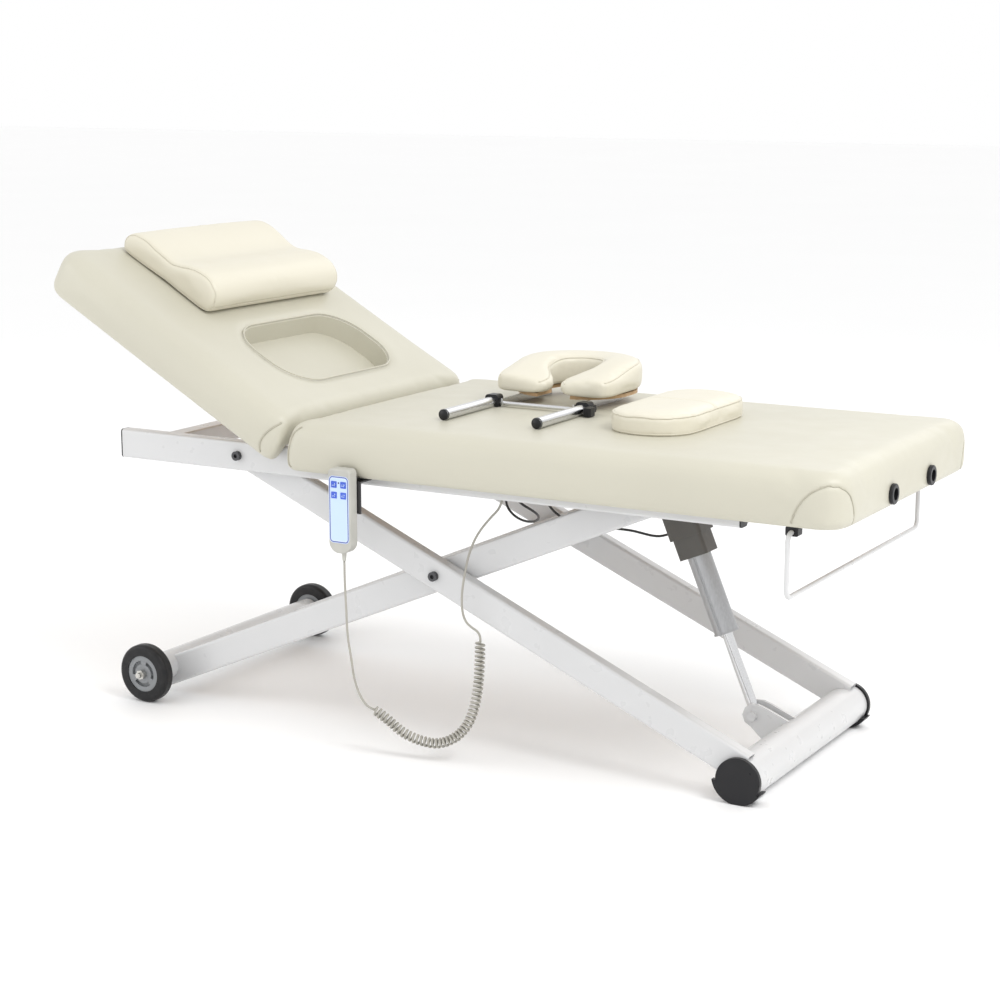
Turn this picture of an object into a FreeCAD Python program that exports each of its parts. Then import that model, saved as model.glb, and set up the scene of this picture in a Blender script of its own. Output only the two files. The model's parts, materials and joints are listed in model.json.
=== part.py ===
import FreeCAD, Part
import math
import os

# Facial treatment bed on an electric scissor base.
# Working frame while modelling: X = 0 at the scissor's middle pivot, +X to the
# foot end, +Y to the patient's left, Z = 0 on the floor, millimetres.
# Every solid is moved by (SHIFT_X, SHIFT_Y, 0) when it is written, so that the
# origin is the centre of the object's footprint box on the floor.

# ---------------------------------------------------------------- dimensions
SHIFT_X, SHIFT_Y = 20.3, 14.2

RAIL_OUT_Y = 308.0        # outer face of the side rails
RAIL_H, RAIL_W, RAIL_T = 60.0, 30.0, 2.0
RAIL_Z0 = 524.0
RAIL_X0, RAIL_X1 = -748.0, 661.0

ARM_H, ARM_W, ARM_T = 60.0, 30.0, 2.0
OUTER_ARM_Y = 275.5       # outer face of the outer arms
INNER_ARM_Y = 240.0       # outer face of the inner arms
OUTER_SLOPE = math.atan(0.4355)
INNER_SLOPE = math.atan(0.4300)
OUTER_Z_AT_0, INNER_Z_AT_0 = 352.6, 347.5

TOP_PIVOT = (-445.7, 555.0)
MID_PIVOT = (0.0, 350.8)
FOOT_AXIS = (656.4, 44.6)
WHEEL_AXIS = (-699.9, 62.3)
ROLLER_AXIS = (475.2, 553.0)
BOLT_R = 5.0
RUN = 0.06                # radial running clearance

FOOT_R, FOOT_T = 40.0, 3.0
FOOT_CAP_R = 44.5
FOOT_CAP_Y = 288.6
WHEEL_R, HUB_R = 62.3, 39.0
WHEEL_Y0, WHEEL_Y1 = 294.0, 323.9
AXLE_TUBE_R = 30.0

SEAT_X0, SEAT_X1 = -300.0, 868.0
HALF_W = 360.0
PAD_Z0, BOARD_Z0, FOAM_Z0, PAD_Z1 = 542.0, 584.0, 596.0, 645.0
APRON_IN_Y = 312.0
HEAD_CLEAR = 24.0         # foam set back at the head end for the backrest's travel

HINGE = (-313.45, 577.0)
BACK_ANGLE = 29.5
BACK_LEN = 672.0
ROLL_R = 55.0
BACK_IN_Y = 318.5         # clear of the top pivots when the backrest is flat

HOLE_X, HOLE_Y, HOLE_R = 97.5, 192.0, 84.0    # half sizes of the face hole
HOLE_U = 173.0            # face hole's centre along the backrest

PIN_C = (569.0, 84.0)     # lower pivot of the lift actuator
PIN_D = (376.0, 543.0)    # upper pivot of the lift actuator
PIN_Q = (-333.6, 501.7)   # backrest actuator on the lever
PIN_R = (60.0, 501.7)     # backrest actuator on the frame

SOCKET_Y, SOCKET_Z, SOCKET_R = 103.9, 572.4, 11.5
WIRE_R, WIRE_X, WIRE_Z0, WIRE_Z1, WIRE_Y = 4.5, 765.0, 416.0, 532.0, 343.0

CORD_R, COIL_R, MOTOR_CORD_R = 2.5, 11.0, 2.5

# ------------------------------------------------------------------- helpers
def V(x, y, z):
    return FreeCAD.Vector(x, y, z)


def box(x0, x1, y0, y1, z0, z1):
    return Part.makeBox(x1 - x0, y1 - y0, z1 - z0, V(x0, y0, z0))


def cyl(p, d, r, h):
    return Part.makeCylinder(r, h, V(*p), V(*d))


def ycyl(x, z, y0, y1, r):
    return Part.makeCylinder(r, y1 - y0, V(x, y0, z), V(0, 1, 0))


def prism_y(pts, y0, y1):
    w = Part.makePolygon([V(x, y0, z) for x, z in pts] + [V(pts[0][0], y0, pts[0][1])])
    return Part.Face(w).extrude(V(0, y1 - y0, 0))


def fuse(*s):
    r = s[0]
    for k in s[1:]:
        r = r.fuse(k)
    return r.removeSplitter()


def par_edges(s, d, test=None):
    out = []
    for e in s.Edges:
        if not isinstance(e.Curve, Part.Line):
            continue
        t = e.tangentAt(e.FirstParameter)
        if abs(abs(t.dot(V(*d))) - 1) < 1e-6 and (test is None or test(e.CenterOfMass)):
            out.append(e)
    return out


def rrbox(x0, x1, y0, y1, z0, z1, d, r):
    s = box(x0, x1, y0, y1, z0, z1)
    return s.makeFillet(r, par_edges(s, d))


def tube_x(L, w, h, t, r=6.0):
    o = rrbox(0, L, -w / 2, w / 2, -h / 2, h / 2, (1, 0, 0), r)
    i = rrbox(-1, L + 1, -w / 2 + t, w / 2 - t, -h / 2 + t, h / 2 - t, (1, 0, 0), r - t)
    return o.cut(i)


def mirror_y(s):
    return s.mirror(V(0, 0, 0), V(0, 1, 0))


def both(s):
    return Part.makeCompound([s, mirror_y(s)])


def comp(*s):
    flat = []
    for k in s:
        flat.extend(k.Solids)
    return Part.makeCompound(flat)


def rot_y(s, c, deg):
    s = s.copy()
    s.rotate(V(c[0], 0, c[1]), V(0, 1, 0), deg)
    return s


def arm(x0, x1, z_at_0, slope, y_out, w=ARM_W):
    """Rectangular tube whose centre line runs in an XZ plane, left-hand side."""
    L = (x1 - x0) / math.cos(slope)
    s = tube_x(L, w, ARM_H, ARM_T)
    up = math.tan(slope)
    s.rotate(V(0, 0, 0), V(0, 1, 0), -math.degrees(slope))
    s.translate(V(x0, -(y_out - w / 2), z_at_0 + up * x0))
    return s


def soft_box(x0, x1, y0, y1, z0, z1, rv, rt, vert=None):
    s = box(x0, x1, y0, y1, z0, z1)
    ed = par_edges(s, (0, 0, 1), vert)
    if rv:
        s = s.makeFillet(rv, ed)
    top = [e for e in s.Edges if e.BoundBox.ZMin > z1 - 1e-3]
    if rt:
        s = s.makeFillet(rt, top)
    return s


def cord_tube(points, r, name):
    """Straight runs joined by tangent arcs, each as large as its runs allow."""
    P = [V(*p) for p in points]
    n = len(P)
    L = [(P[i + 1] - P[i]).Length for i in range(n - 1)]
    edges = []
    cur = P[0]
    radii = []
    length = 0.0
    for i in range(1, n - 1):
        a = (P[i - 1] - P[i]).normalize()
        b = (P[i + 1] - P[i]).normalize()
        turn = math.pi - a.getAngle(b)
        cut = 0.45 * min(L[i - 1], L[i])
        rad = cut / math.tan(turn / 2)
        p0 = P[i] + a * cut
        p1 = P[i] + b * cut
        bis = (a + b).normalize()
        mid = P[i] + bis * (rad / math.cos(turn / 2) - rad)
        edges.append(Part.LineSegment(cur, p0).toShape())
        edges.append(Part.Arc(p0, mid, p1).toShape())
        length += (p0 - cur).Length + rad * turn
        radii.append((round(rad, 1), round(math.degrees(turn), 1)))
        cur = p1
    edges.append(Part.LineSegment(cur, P[-1]).toShape())
    length += (P[-1] - cur).Length
    wire = Part.Wire(edges)
    d0 = (P[1] - P[0]).normalize()
    circ = Part.Wire(Part.Circle(P[0], d0, r).toShape())
    s = wire.makePipeShell([circ], True, False)
    if s.Volume < 0:
        s.reverse()
    want = math.pi * r * r * length
    print(name, "length %.1f" % length, "volume ratio %.4f" % (s.Volume / want),
          "valid", s.isValid(), "runs", [round(k, 1) for k in L], "radius/turn", radii)
    return s


# ---------------------------------------------------------------- fixed frame
N = {}
yo, yi = RAIL_OUT_Y, RAIL_OUT_Y - RAIL_W
rail = tube_x(RAIL_X1 - RAIL_X0 - 6, RAIL_W, RAIL_H, RAIL_T, 6.0)
rail.translate(V(RAIL_X0 + 3, -(yo + yi) / 2, RAIL_Z0 + RAIL_H / 2))
rail = rail.cut(ycyl(TOP_PIVOT[0], TOP_PIVOT[1], -yo - 1, -yi + 1, BOLT_R + RUN))
N["side_rails"] = both(rail)


def end_cap(x, s):
    plate = rrbox(min(x, x + 3 * s), max(x, x + 3 * s), -yo, -yi, RAIL_Z0, RAIL_Z0 + RAIL_H, (1, 0, 0), 6.0)
    xa, xb = x - 15 * s, x
    plug = rrbox(min(xa, xb), max(xa, xb), -yo + 2.1, -yi - 2.1, RAIL_Z0 + 2.1, RAIL_Z0 + RAIL_H - 2.1, (1, 0, 0), 3.8)
    return fuse(plate, plug)


N["rail_end_caps"] = comp(both(end_cap(RAIL_X0 + 3, -1)), both(end_cap(RAIL_X1 - 3, 1)))


def cross(x0, x1, z0, z1):
    s = rrbox(x0, x1, -yi, yi, z0, z1, (0, 1, 0), 3.0)
    return s.cut(box(x0 + 2, x1 - 2, -yi - 1, yi + 1, z0 + 2, z1 - 2))


mid_cross = cross(348, 404, 562, 583.5)
for sy in (-1, 1):
    ya, yb = sorted((sy * 196.0, sy * 262.0))
    mid_cross = mid_cross.cut(box(340, 410, ya, yb, 560, 576.5))
mid_cross = mid_cross.removeSplitter()
N["cross_tubes"] = comp(cross(-648, -608, 542, 582), cross(45, 85, 545, 583.5), mid_cross, cross(628, 658, 526, 556))
lift_cheek = prism_y([(352, 562), (400, 562), (398, 538), (389, 524), (376, 519), (363, 524), (354, 538)], -22, -16)
back_cheek = prism_y([(40, 545), (80, 545), (80, 488), (72, 482), (48, 482), (40, 488)], -18, -12)
lift_pin = ycyl(PIN_D[0], PIN_D[1], -28, 28, 6.0)
N["motor_brackets"] = comp(both(lift_cheek.cut(ycyl(PIN_D[0], PIN_D[1], -30, 30, 6.02))), lift_pin,
                           both(back_cheek.cut(ycyl(PIN_R[0], PIN_R[1], -30, 30, 6.02))),
                           ycyl(PIN_R[0], PIN_R[1], -24, 24, 6.0))

# seat: plywood board, timber apron round three sides, foam pad over both
board = box(SEAT_X0 + HEAD_CLEAR, SEAT_X1 - 50, -APRON_IN_Y, APRON_IN_Y, BOARD_Z0, FOAM_Z0)
side = box(SEAT_X0, SEAT_X1 - 52, -HALF_W, -APRON_IN_Y, PAD_Z0, FOAM_Z0).cut(box(SEAT_X0 - 1, SEAT_X0 + HEAD_CLEAR, -400, 0, 574, 600))
foot = box(SEAT_X1 - 52, SEAT_X1, -HALF_W, HALF_W, PAD_Z0, FOAM_Z0)
foot = foot.makeFillet(40.0, par_edges(foot, (0, 0, 1), lambda c: c.x > SEAT_X1 - 1))
for sy in (-1, 1):
    foot = foot.cut(cyl((SEAT_X1 - 60, sy * SOCKET_Y, SOCKET_Z), (1, 0, 0), 14.1, 80))
board = board.cut(box(SEAT_X1 - 52, SEAT_X1, -400, 400, 500, 700))
for sy in (-1, 1):
    board = board.cut(cyl((639, sy * SOCKET_Y, SOCKET_Z), (1, 0, 0), 14.1, 300))
N["seat_board"] = comp(board, both(side), foot)
N["seat_pad"] = soft_box(SEAT_X0 + HEAD_CLEAR, SEAT_X1, -HALF_W, HALF_W, FOAM_Z0, PAD_Z1, 40.0, 34.0)

socket = cyl((640, -SOCKET_Y, SOCKET_Z), (1, 0, 0), 14.0, SEAT_X1 - 640)
socket = socket.cut(cyl((639, -SOCKET_Y, SOCKET_Z), (1, 0, 0), SOCKET_R, 300))
grom = cyl((SEAT_X1, -SOCKET_Y, SOCKET_Z), (1, 0, 0), 19.5, 7.0)
grom = grom.makeFillet(2.5, [e for e in grom.Edges if e.BoundBox.XMin > SEAT_X1 + 6.9])
grom = grom.cut(cyl((SEAT_X1 - 1, -SOCKET_Y, SOCKET_Z), (1, 0, 0), SOCKET_R, 20))
N["headrest_sockets"] = both(socket.fuse(grom).removeSplitter())

# C section tracks for the inner frame's rollers, fixed to the rails' inner faces
tr = box(406, 600, -yi, -yi + 25, 532.5, 573.5)
tr = tr.cut(box(405, 601, -yi + 3, -yi + 26, 535.9, 570.1))
N["roller_tracks"] = both(tr)

# control box, its gland, and the mains inlet
cb = soft_box(95, 235, -262, -120, 538, 583.5, 8.0, 0)
cb = cb.cut(box(99, 231, -258, -124, 542, 583.5 - 4))
gl_x, gl_y = 140.0, -250.0
gland = fuse(cyl((gl_x, gl_y, 526), (0, 0, 1), 6.5, 12), cyl((gl_x, gl_y, 519), (0, 0, 1), 4.5, 7))
g2 = cyl((175, -146, 526), (0, 0, 1), 6.0, 12)
g3 = cyl((110, -160, 526), (0, 0, 1), 6.0, 12)
N["control_box"] = comp(cb, gland, g2, g3)
inlet = fuse(box(220, 250, -205, -177, 545, 568), box(235, 238, -212, -170, 541, 572))
inlet = inlet.cut(box(232, 251, -201, -181, 549, 564))
N["power_inlet"] = inlet.cut(box(200, 235, -300, 0, 500, 600))

# butt hinges below the boards, pins included
hx, hz = HINGE


def leaf_set(x0, x1, y_sets):
    out = []
    for y0, y1, yk in y_sets:
        plate = box(min(x0, x1), max(x0, x1), y0, y1, 581.0, 583.95)
        kn = []
        for a, b in yk:
            k = ycyl(hx, hz, a, b, 7.0)
            web = box(min(hx, x0), max(hx, x0), a, b, 579.5, 583.95) if abs(x0 - hx) > 0.1 else None
            kn.append(k if web is None else k.fuse(web))
        s = plate
        for k in kn:
            s = s.fuse(k)
        s = s.cut(ycyl(hx, hz, y0 - 5, y1 + 5, 4.0 + RUN))
        out.append(s.removeSplitter())
    return out


seat_leaf = leaf_set(-297, -262, [(130, 230, [(130, 152), (174, 186), (208, 230)])])
back_leaf_flat = leaf_set(-330, -365, [(130, 230, [(152.5, 173.5), (186.5, 207.5)])])
pin = ycyl(hx, hz, 128, 232, 4.0)
N["seat_hinge_leaves"] = comp(both(seat_leaf[0]), both(pin))

# clips that hold the paper roll holder, and the hanger of the handset
clip = rrbox(753, 777, -326, -306, 525, PAD_Z0, (0, 1, 0), 3.0).cut(ycyl(WIRE_X, WIRE_Z1, -340, -290, WIRE_R + RUN))
N["roll_holder_clips"] = both(clip)
hang = fuse(box(-150, -114, -357.5, -320, 539.0, PAD_Z0), box(-150, -114, -361.0, -357.5, 478, PAD_Z0),
            cyl((-146.5, -361.0, 530), (0, -1, 0), 4.0, 6.0))
N["handset_hanger"] = hang

# shoulder bolts of the top pivots (in the rails)
def bolt(x, z, y_head, y_end, r=BOLT_R, rh=9.5, hh=9.0, nut=None):
    s = ycyl(x, z, y_head, y_end, r).fuse(ycyl(x, z, y_head - hh, y_head, rh))
    sock = Part.makePolygon([V(x + 4.6 * math.cos(math.radians(60 * k)), y_head - hh - 1, z + 4.6 * math.sin(math.radians(60 * k))) for k in range(7)])
    s = s.cut(Part.Face(sock).extrude(V(0, 6.0, 0)))
    if nut:
        hexa = Part.makePolygon([V(x + 9.2 * math.cos(math.radians(60 * k)), nut, z + 9.2 * math.sin(math.radians(60 * k))) for k in range(7)])
        s = s.fuse(Part.Face(hexa).extrude(V(0, 8.0, 0)))
    return s.removeSplitter()


N["top_pivot_bolts"] = both(bolt(TOP_PIVOT[0], TOP_PIVOT[1], -yo, -232.0, nut=-244.8))

# ---------------------------------------------------------------- outer frame
xe = TOP_PIVOT[0] - 18.0
oa = arm(xe, 662.0, OUTER_Z_AT_0, -OUTER_SLOPE, OUTER_ARM_Y)
for c in (TOP_PIVOT, MID_PIVOT):
    oa = oa.cut(ycyl(c[0], c[1], -OUTER_ARM_Y - 1, -OUTER_ARM_Y + ARM_W + 1, BOLT_R + (RUN if c is TOP_PIVOT else 0.02)))
oa = oa.cut(ycyl(FOOT_AXIS[0], FOOT_AXIS[1], -300, 0, FOOT_R + 0.02))
N["outer_arms"] = both(max(oa.Solids, key=lambda s: s.Volume))

ft_y = FOOT_CAP_Y - 10.5
ft = ycyl(FOOT_AXIS[0], FOOT_AXIS[1], -ft_y, ft_y, FOOT_R).cut(ycyl(FOOT_AXIS[0], FOOT_AXIS[1], -ft_y - 1, ft_y + 1, FOOT_R - FOOT_T))
cheek = prism_y([(548, 84), (553, 98), (563, 108), (580, 109), (596, 104), (646, 84), (623, 24), (597, 34), (566, 62), (553, 70)], -18, -12)
cheek = cheek.cut(ycyl(FOOT_AXIS[0], FOOT_AXIS[1], -30, 30, FOOT_R + 0.02))
cheek = max(cheek.Solids, key=lambda s: s.Volume)
stub = ycyl(PIN_C[0], PIN_C[1], -21, -12, 6.0).fuse(ycyl(PIN_C[0], PIN_C[1], -24.5, -18, 9.5))
N["foot_tube"] = comp(ft, both(cheek.fuse(stub).removeSplitter()))
N["mid_pivot_bolts"] = both(bolt(MID_PIVOT[0], MID_PIVOT[1], -OUTER_ARM_Y, -202.0, nut=-209.3))

# foot caps: plugs that turn in the foot tube, so their soles stay flat
cx, cz = FOOT_AXIS
cap = ycyl(cx, cz, -FOOT_CAP_Y, -FOOT_CAP_Y + 10, FOOT_CAP_R)
cap = cap.makeFillet(2.0, [e for e in cap.Edges if e.BoundBox.YMax < -FOOT_CAP_Y + 0.1])
skirt = ycyl(cx, 51.0, -FOOT_CAP_Y, -FOOT_CAP_Y + 10, 52.0)
skirt = skirt.cut(box(cx - 90, cx + 90, -400, 0, 42, 200)).cut(box(cx + 20, cx + 90, -400, 0, 24, 200))
lip = ycyl(cx, 51.0, -FOOT_CAP_Y, -FOOT_CAP_Y + 34, 52.0).cut(ycyl(cx, cz, -FOOT_CAP_Y + 10, -FOOT_CAP_Y + 40, FOOT_R + 1.0))
lip = lip.common(box(cx + 2, cx + 90, -400, 0, 0, 24))
lip = max(lip.Solids, key=lambda k: k.Volume)
cap = cap.fuse(skirt).fuse(lip).cut(box(cx - 90, cx + 90, -400, 0, -20, 0))
cap = cap.fuse(ycyl(cx, cz, -FOOT_CAP_Y + 10, -FOOT_CAP_Y + 36, FOOT_R - FOOT_T - RUN)).removeSplitter()
N["foot_caps"] = both(cap)

# ---------------------------------------------------------------- inner frame
ia = arm(-706.0, 497.0, INNER_Z_AT_0, INNER_SLOPE, INNER_ARM_Y)
ia = ia.cut(ycyl(WHEEL_AXIS[0], WHEEL_AXIS[1], -300, 0, AXLE_TUBE_R + 0.02))
ia = max(ia.Solids, key=lambda s: s.Volume)
ia = ia.cut(ycyl(MID_PIVOT[0], MID_PIVOT[1], -300, -200, BOLT_R + RUN))
ia = ia.cut(ycyl(ROLLER_AXIS[0], ROLLER_AXIS[1], -300, -200, 12.52))
ia = ia.cut(box(380, 600, -300, -150, 577.0, 640.0))
# the axle tube's saddle closes the arm's lower end
N["inner_arms"] = both(ia)
ax = ycyl(WHEEL_AXIS[0], WHEEL_AXIS[1], -290.0, 290.0, AXLE_TUBE_R)
ax = ax.cut(ycyl(WHEEL_AXIS[0], WHEEL_AXIS[1], -282.0, 282.0, AXLE_TUBE_R - 3))
ax = ax.cut(ycyl(WHEEL_AXIS[0], WHEEL_AXIS[1], -295.0, 295.0, 6.02))
N["axle_tube"] = ax
tx, tz = ROLLER_AXIS
ct = ycyl(tx, tz, -247.0, 247.0, 12.5)
ct = ct.fuse(ycyl(tx, tz, -272.0, 272.0, 6.0)).removeSplitter()
N["inner_cross_shaft"] = ct
wb = ycyl(WHEEL_AXIS[0], WHEEL_AXIS[1], -341.0, -262.0, 6.0)
wb = wb.makeFillet(1.5, [e for e in wb.Edges if e.BoundBox.YMax < -340.9])
hexn = Part.makePolygon([V(WHEEL_AXIS[0] + 10.6 * math.cos(math.radians(60 * k + 15)), -332.5, WHEEL_AXIS[1] + 10.6 * math.sin(math.radians(60 * k + 15))) for k in range(7)])
wn = Part.Face(hexn).extrude(V(0, 8.0, 0)).cut(ycyl(WHEEL_AXIS[0], WHEEL_AXIS[1], -350, -300, 6.0))
wash = ycyl(WHEEL_AXIS[0], WHEEL_AXIS[1], -293.6, -290.0, 12.0).cut(ycyl(WHEEL_AXIS[0], WHEEL_AXIS[1], -300, -280, 6.0))
N["axle_bolts"] = comp(both(fuse(wb, wn, wash)))


def roller(sy):
    s = ycyl(tx, tz, 251.0, 271.0, 16.2)
    s = s.makeFillet(1.5, [e for e in s.Edges if isinstance(e.Curve, Part.Circle)])
    s = s.cut(ycyl(tx, tz, 240, 280, 6.0 + RUN))
    return s if sy > 0 else mirror_y(s)


N["roller_right"], N["roller_left"] = roller(1), roller(-1)


def tyre(sy):
    wx, wz = WHEEL_AXIS
    s = ycyl(wx, wz, WHEEL_Y0, WHEEL_Y1, WHEEL_R)
    s = s.makeFillet(9.0, [e for e in s.Edges if isinstance(e.Curve, Part.Circle)])
    s = s.cut(ycyl(wx, wz, WHEEL_Y0 - 1, WHEEL_Y1 + 1, HUB_R + 0.02))
    return s if sy > 0 else mirror_y(s)


def hub(sy):
    wx, wz = WHEEL_AXIS
    s = ycyl(wx, wz, WHEEL_Y0 + 1.0, WHEEL_Y1 - 2.0, HUB_R)
    for k in range(3):
        a0 = 100 + 120 * k
        ring = ycyl(wx, wz, WHEEL_Y1 - 9.0, WHEEL_Y1 + 1, 28.5).cut(ycyl(wx, wz, WHEEL_Y1 - 10, WHEEL_Y1 + 2, 20.5))
        wedge = Part.makePolygon([V(wx, WHEEL_Y1 - 10, wz)] + [V(wx + 70 * math.cos(math.radians(a0 + t)), WHEEL_Y1 - 10, wz + 70 * math.sin(math.radians(a0 + t))) for t in (0, 45, 90)] + [V(wx, WHEEL_Y1 - 10, wz)])
        s = s.cut(ring.common(Part.Face(wedge).extrude(V(0, 20, 0))))
    s = s.cut(ycyl(wx, wz, WHEEL_Y0 - 1, WHEEL_Y1 + 1, 6.0 + RUN))
    return s if sy > 0 else mirror_y(s)


N["tyre_right"], N["tyre_left"] = tyre(1), tyre(-1)
N["hub_right"], N["hub_left"] = hub(1), hub(-1)

# -------------------------------------------------------------- lift actuator
ldx, ldz = PIN_D[0] - PIN_C[0], PIN_D[1] - PIN_C[1]
LEN = math.hypot(ldx, ldz)
ux, uz = ldx / LEN, ldz / LEN


def along(t):
    return (PIN_C[0] + ux * t, 0.0, PIN_C[1] + uz * t)


def acyl(t0, t1, r):
    return cyl(along(t0), (ux, 0, uz), r, t1 - t0)


T_RING, T_TUBE, T_COLLAR, T_HOUSE, T_TOP = 169.0, 172.0, 331.0, 373.0, 455.0
ang = math.degrees(math.atan2(ux, uz))


def abox(t0, t1, hx_, hy, r):
    s = rrbox(-hx_, hx_, -hy, hy, 0, t1 - t0, (0, 0, 1), r)
    s.rotate(V(0, 0, 0), V(0, 1, 0), ang)
    s.translate(V(*along(t0)))
    return s


rod_bore = acyl(100, 352, 10.5 + RUN)
house = fuse(abox(T_HOUSE, T_TOP, 36, 34, 8), abox(T_COLLAR, T_HOUSE + 0.5, 32, 29, 8), acyl(T_TOP - 1, LEN - 12, 12.0),
             ycyl(PIN_D[0], PIN_D[1], -14, 14, 15.0)).cut(rod_bore)
house = house.cut(ycyl(PIN_D[0], PIN_D[1], -20, 20, 6.0 + RUN))
gx, gz = along(388.0)[0] - uz * 44.0, along(388.0)[2] + ux * 44.0
house = house.fuse(cyl((gx, 0, gz), (uz, 0, -ux), 6.0, 9.0)).removeSplitter()
print("lift cable ends at", round(gx, 2), round(gz, 2), "along", round(uz, 4), round(-ux, 4))
N["lift_motor_housing"] = house
tube = acyl(T_TUBE, T_COLLAR, 24.0)
for k in range(2):
    g = acyl(T_TUBE + 6, T_COLLAR - 2, 2.2)
    g.translate(V(0, (-1) ** k * 24.3, 0))
    tube = tube.cut(g)
ring = acyl(T_RING, T_TUBE, 25.5)
N["lift_actuator_tube"] = comp(tube.cut(rod_bore), ring.cut(rod_bore))
rod = fuse(acyl(8, 258, 10.5), ycyl(PIN_C[0], PIN_C[1], -10, 10, 15.0))
N["lift_rod"] = rod

# ---------------------------------------------------------- backrest actuator
qx, qz = PIN_Q
bore = cyl((-260, 0, qz), (1, 0, 0), 10.0 + RUN, 207)
N["back_actuator_tube"] = cyl((-215, 0, qz), (1, 0, 0), 22.0, 185).cut(bore)
N["back_motor_housing"] = fuse(rrbox(-30, 34, -31, 31, qz - 31, qz + 33, (1, 0, 0), 8), box(30, 60, -10, 10, qz - 12, qz + 12), ycyl(PIN_R[0], PIN_R[1], -10, 10, 12.0)).cut(bore).cut(ycyl(PIN_R[0], PIN_R[1], -20, 20, 6.0 + RUN)).fuse(cyl((4, 0, 464.0), (0, 0, 1), 6.0, 6.9)).removeSplitter().cut(cyl((4, 0, 463.0), (0, 0, 1), 4.3, 5.6))
N["back_rod"] = fuse(cyl((qx + 8, 0, qz), (1, 0, 0), 10.0, 230), ycyl(qx, qz, -8, 8, 14.0))

# ------------------------------------------------------- backrest, drawn flat
bx1 = hx - 1.0
bx0 = hx - BACK_LEN
APR = 48.0


def back_place(s):
    return rot_y(s, HINGE, BACK_ANGLE)


bb = box(bx0 + APR, bx1 - 3, -BACK_IN_Y, BACK_IN_Y, BOARD_Z0, FOAM_Z0)
bside = box(bx0 + APR, bx1 - 8, -HALF_W, -BACK_IN_Y, PAD_Z0, FOAM_Z0)
bhead = box(bx0, bx0 + APR, -HALF_W, HALF_W, PAD_Z0, FOAM_Z0)
bhead = bhead.makeFillet(40.0, par_edges(bhead, (0, 0, 1), lambda c: c.x < bx0 + 1))
N["backrest_board"] = comp(*[back_place(k) for k in (bb, bside, mirror_y(bside), bhead)])
foam = box(bx0, bx1, -HALF_W, HALF_W, FOAM_Z0, PAD_Z1)
foam = foam.makeFillet(40.0, par_edges(foam, (0, 0, 1), lambda c: c.x < bx0 + 1))
top = [e for e in foam.Edges if e.BoundBox.ZMin > PAD_Z1 - 1e-3 and e.BoundBox.XMax < bx1 - 0.5 or
       (e.BoundBox.ZMin > PAD_Z1 - 1e-3 and e.BoundBox.XMax - e.BoundBox.XMin > 100)]
foam = foam.makeFillet(30.0, top)
# rounded lower end: everything above the roll's quarter circle is removed
rcx, rcz = bx1 + 1.0 - 56.0, PAD_Z1 - ROLL_R
quarter = box(rcx, bx1 + 60, -400, 400, rcz, 720).cut(ycyl(rcx, rcz, -401, 401, ROLL_R))
foam = foam.cut(quarter)
foam = max(foam.Solids, key=lambda s: s.Volume)
hole_cx = HINGE[0] - 40.2 - HOLE_U
hole = rrbox(hole_cx - HOLE_X, hole_cx + HOLE_X, -HOLE_Y + 8, HOLE_Y + 8, FOAM_Z0 - 5, PAD_Z1 + 5, (0, 0, 1), HOLE_R)
foam = foam.cut(hole)
N["backrest_pad"] = back_place(foam)
N["backrest_hinge_leaves"] = comp(*[back_place(k) for k in (back_leaf_flat[0], mirror_y(back_leaf_flat[0]))])
lev = prism_y([(-400, 583.95), (-336, 583.95), (-322, 560), (-276, 516), (-272, 500), (-278, 486), (-294, 480), (-310, 484), (-400, 560)], -18, -12)
qf = (hx + 19.5, hz - 75.5)
lstub = ycyl(qf[0], qf[1], -20, -12, 6.0).fuse(ycyl(qf[0], qf[1], -24, -18, 9.5))
lever = lev.fuse(lstub).removeSplitter()
N["backrest_lever"] = comp(*[back_place(k) for k in (lever, mirror_y(lever))])

# ------------------------------------------------------------ paper roll wire
rb = 16.0


def wire_path():
    yb = -WIRE_Y
    k = math.sqrt(0.5) * rb
    e = []
    p = [V(WIRE_X, -300, WIRE_Z1), V(WIRE_X, yb + rb, WIRE_Z1)]
    c1 = V(WIRE_X, yb + rb, WIRE_Z1 - rb)
    c2 = V(WIRE_X, yb + rb, WIRE_Z0 + rb)
    e.append(Part.LineSegment(p[0], p[1]).toShape())
    e.append(Part.Arc(p[1], c1 + V(0, -k, k), V(WIRE_X, yb, WIRE_Z1 - rb)).toShape())
    e.append(Part.LineSegment(V(WIRE_X, yb, WIRE_Z1 - rb), V(WIRE_X, yb, WIRE_Z0 + rb)).toShape())
    e.append(Part.Arc(V(WIRE_X, yb, WIRE_Z0 + rb), c2 + V(0, -k, -k), V(WIRE_X, yb + rb, WIRE_Z0)).toShape())
    e.append(Part.LineSegment(V(WIRE_X, yb + rb, WIRE_Z0), V(WIRE_X, -yb - rb, WIRE_Z0)).toShape())
    c3 = V(WIRE_X, -yb - rb, WIRE_Z0 + rb)
    c4 = V(WIRE_X, -yb - rb, WIRE_Z1 - rb)
    e.append(Part.Arc(V(WIRE_X, -yb - rb, WIRE_Z0), c3 + V(0, k, -k), V(WIRE_X, -yb, WIRE_Z0 + rb)).toShape())
    e.append(Part.LineSegment(V(WIRE_X, -yb, WIRE_Z0 + rb), V(WIRE_X, -yb, WIRE_Z1 - rb)).toShape())
    e.append(Part.Arc(V(WIRE_X, -yb, WIRE_Z1 - rb), c4 + V(0, k, k), V(WIRE_X, -yb - rb, WIRE_Z1)).toShape())
    e.append(Part.LineSegment(V(WIRE_X, -yb - rb, WIRE_Z1), V(WIRE_X, 300, WIRE_Z1)).toShape())
    return Part.Wire(e)


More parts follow.
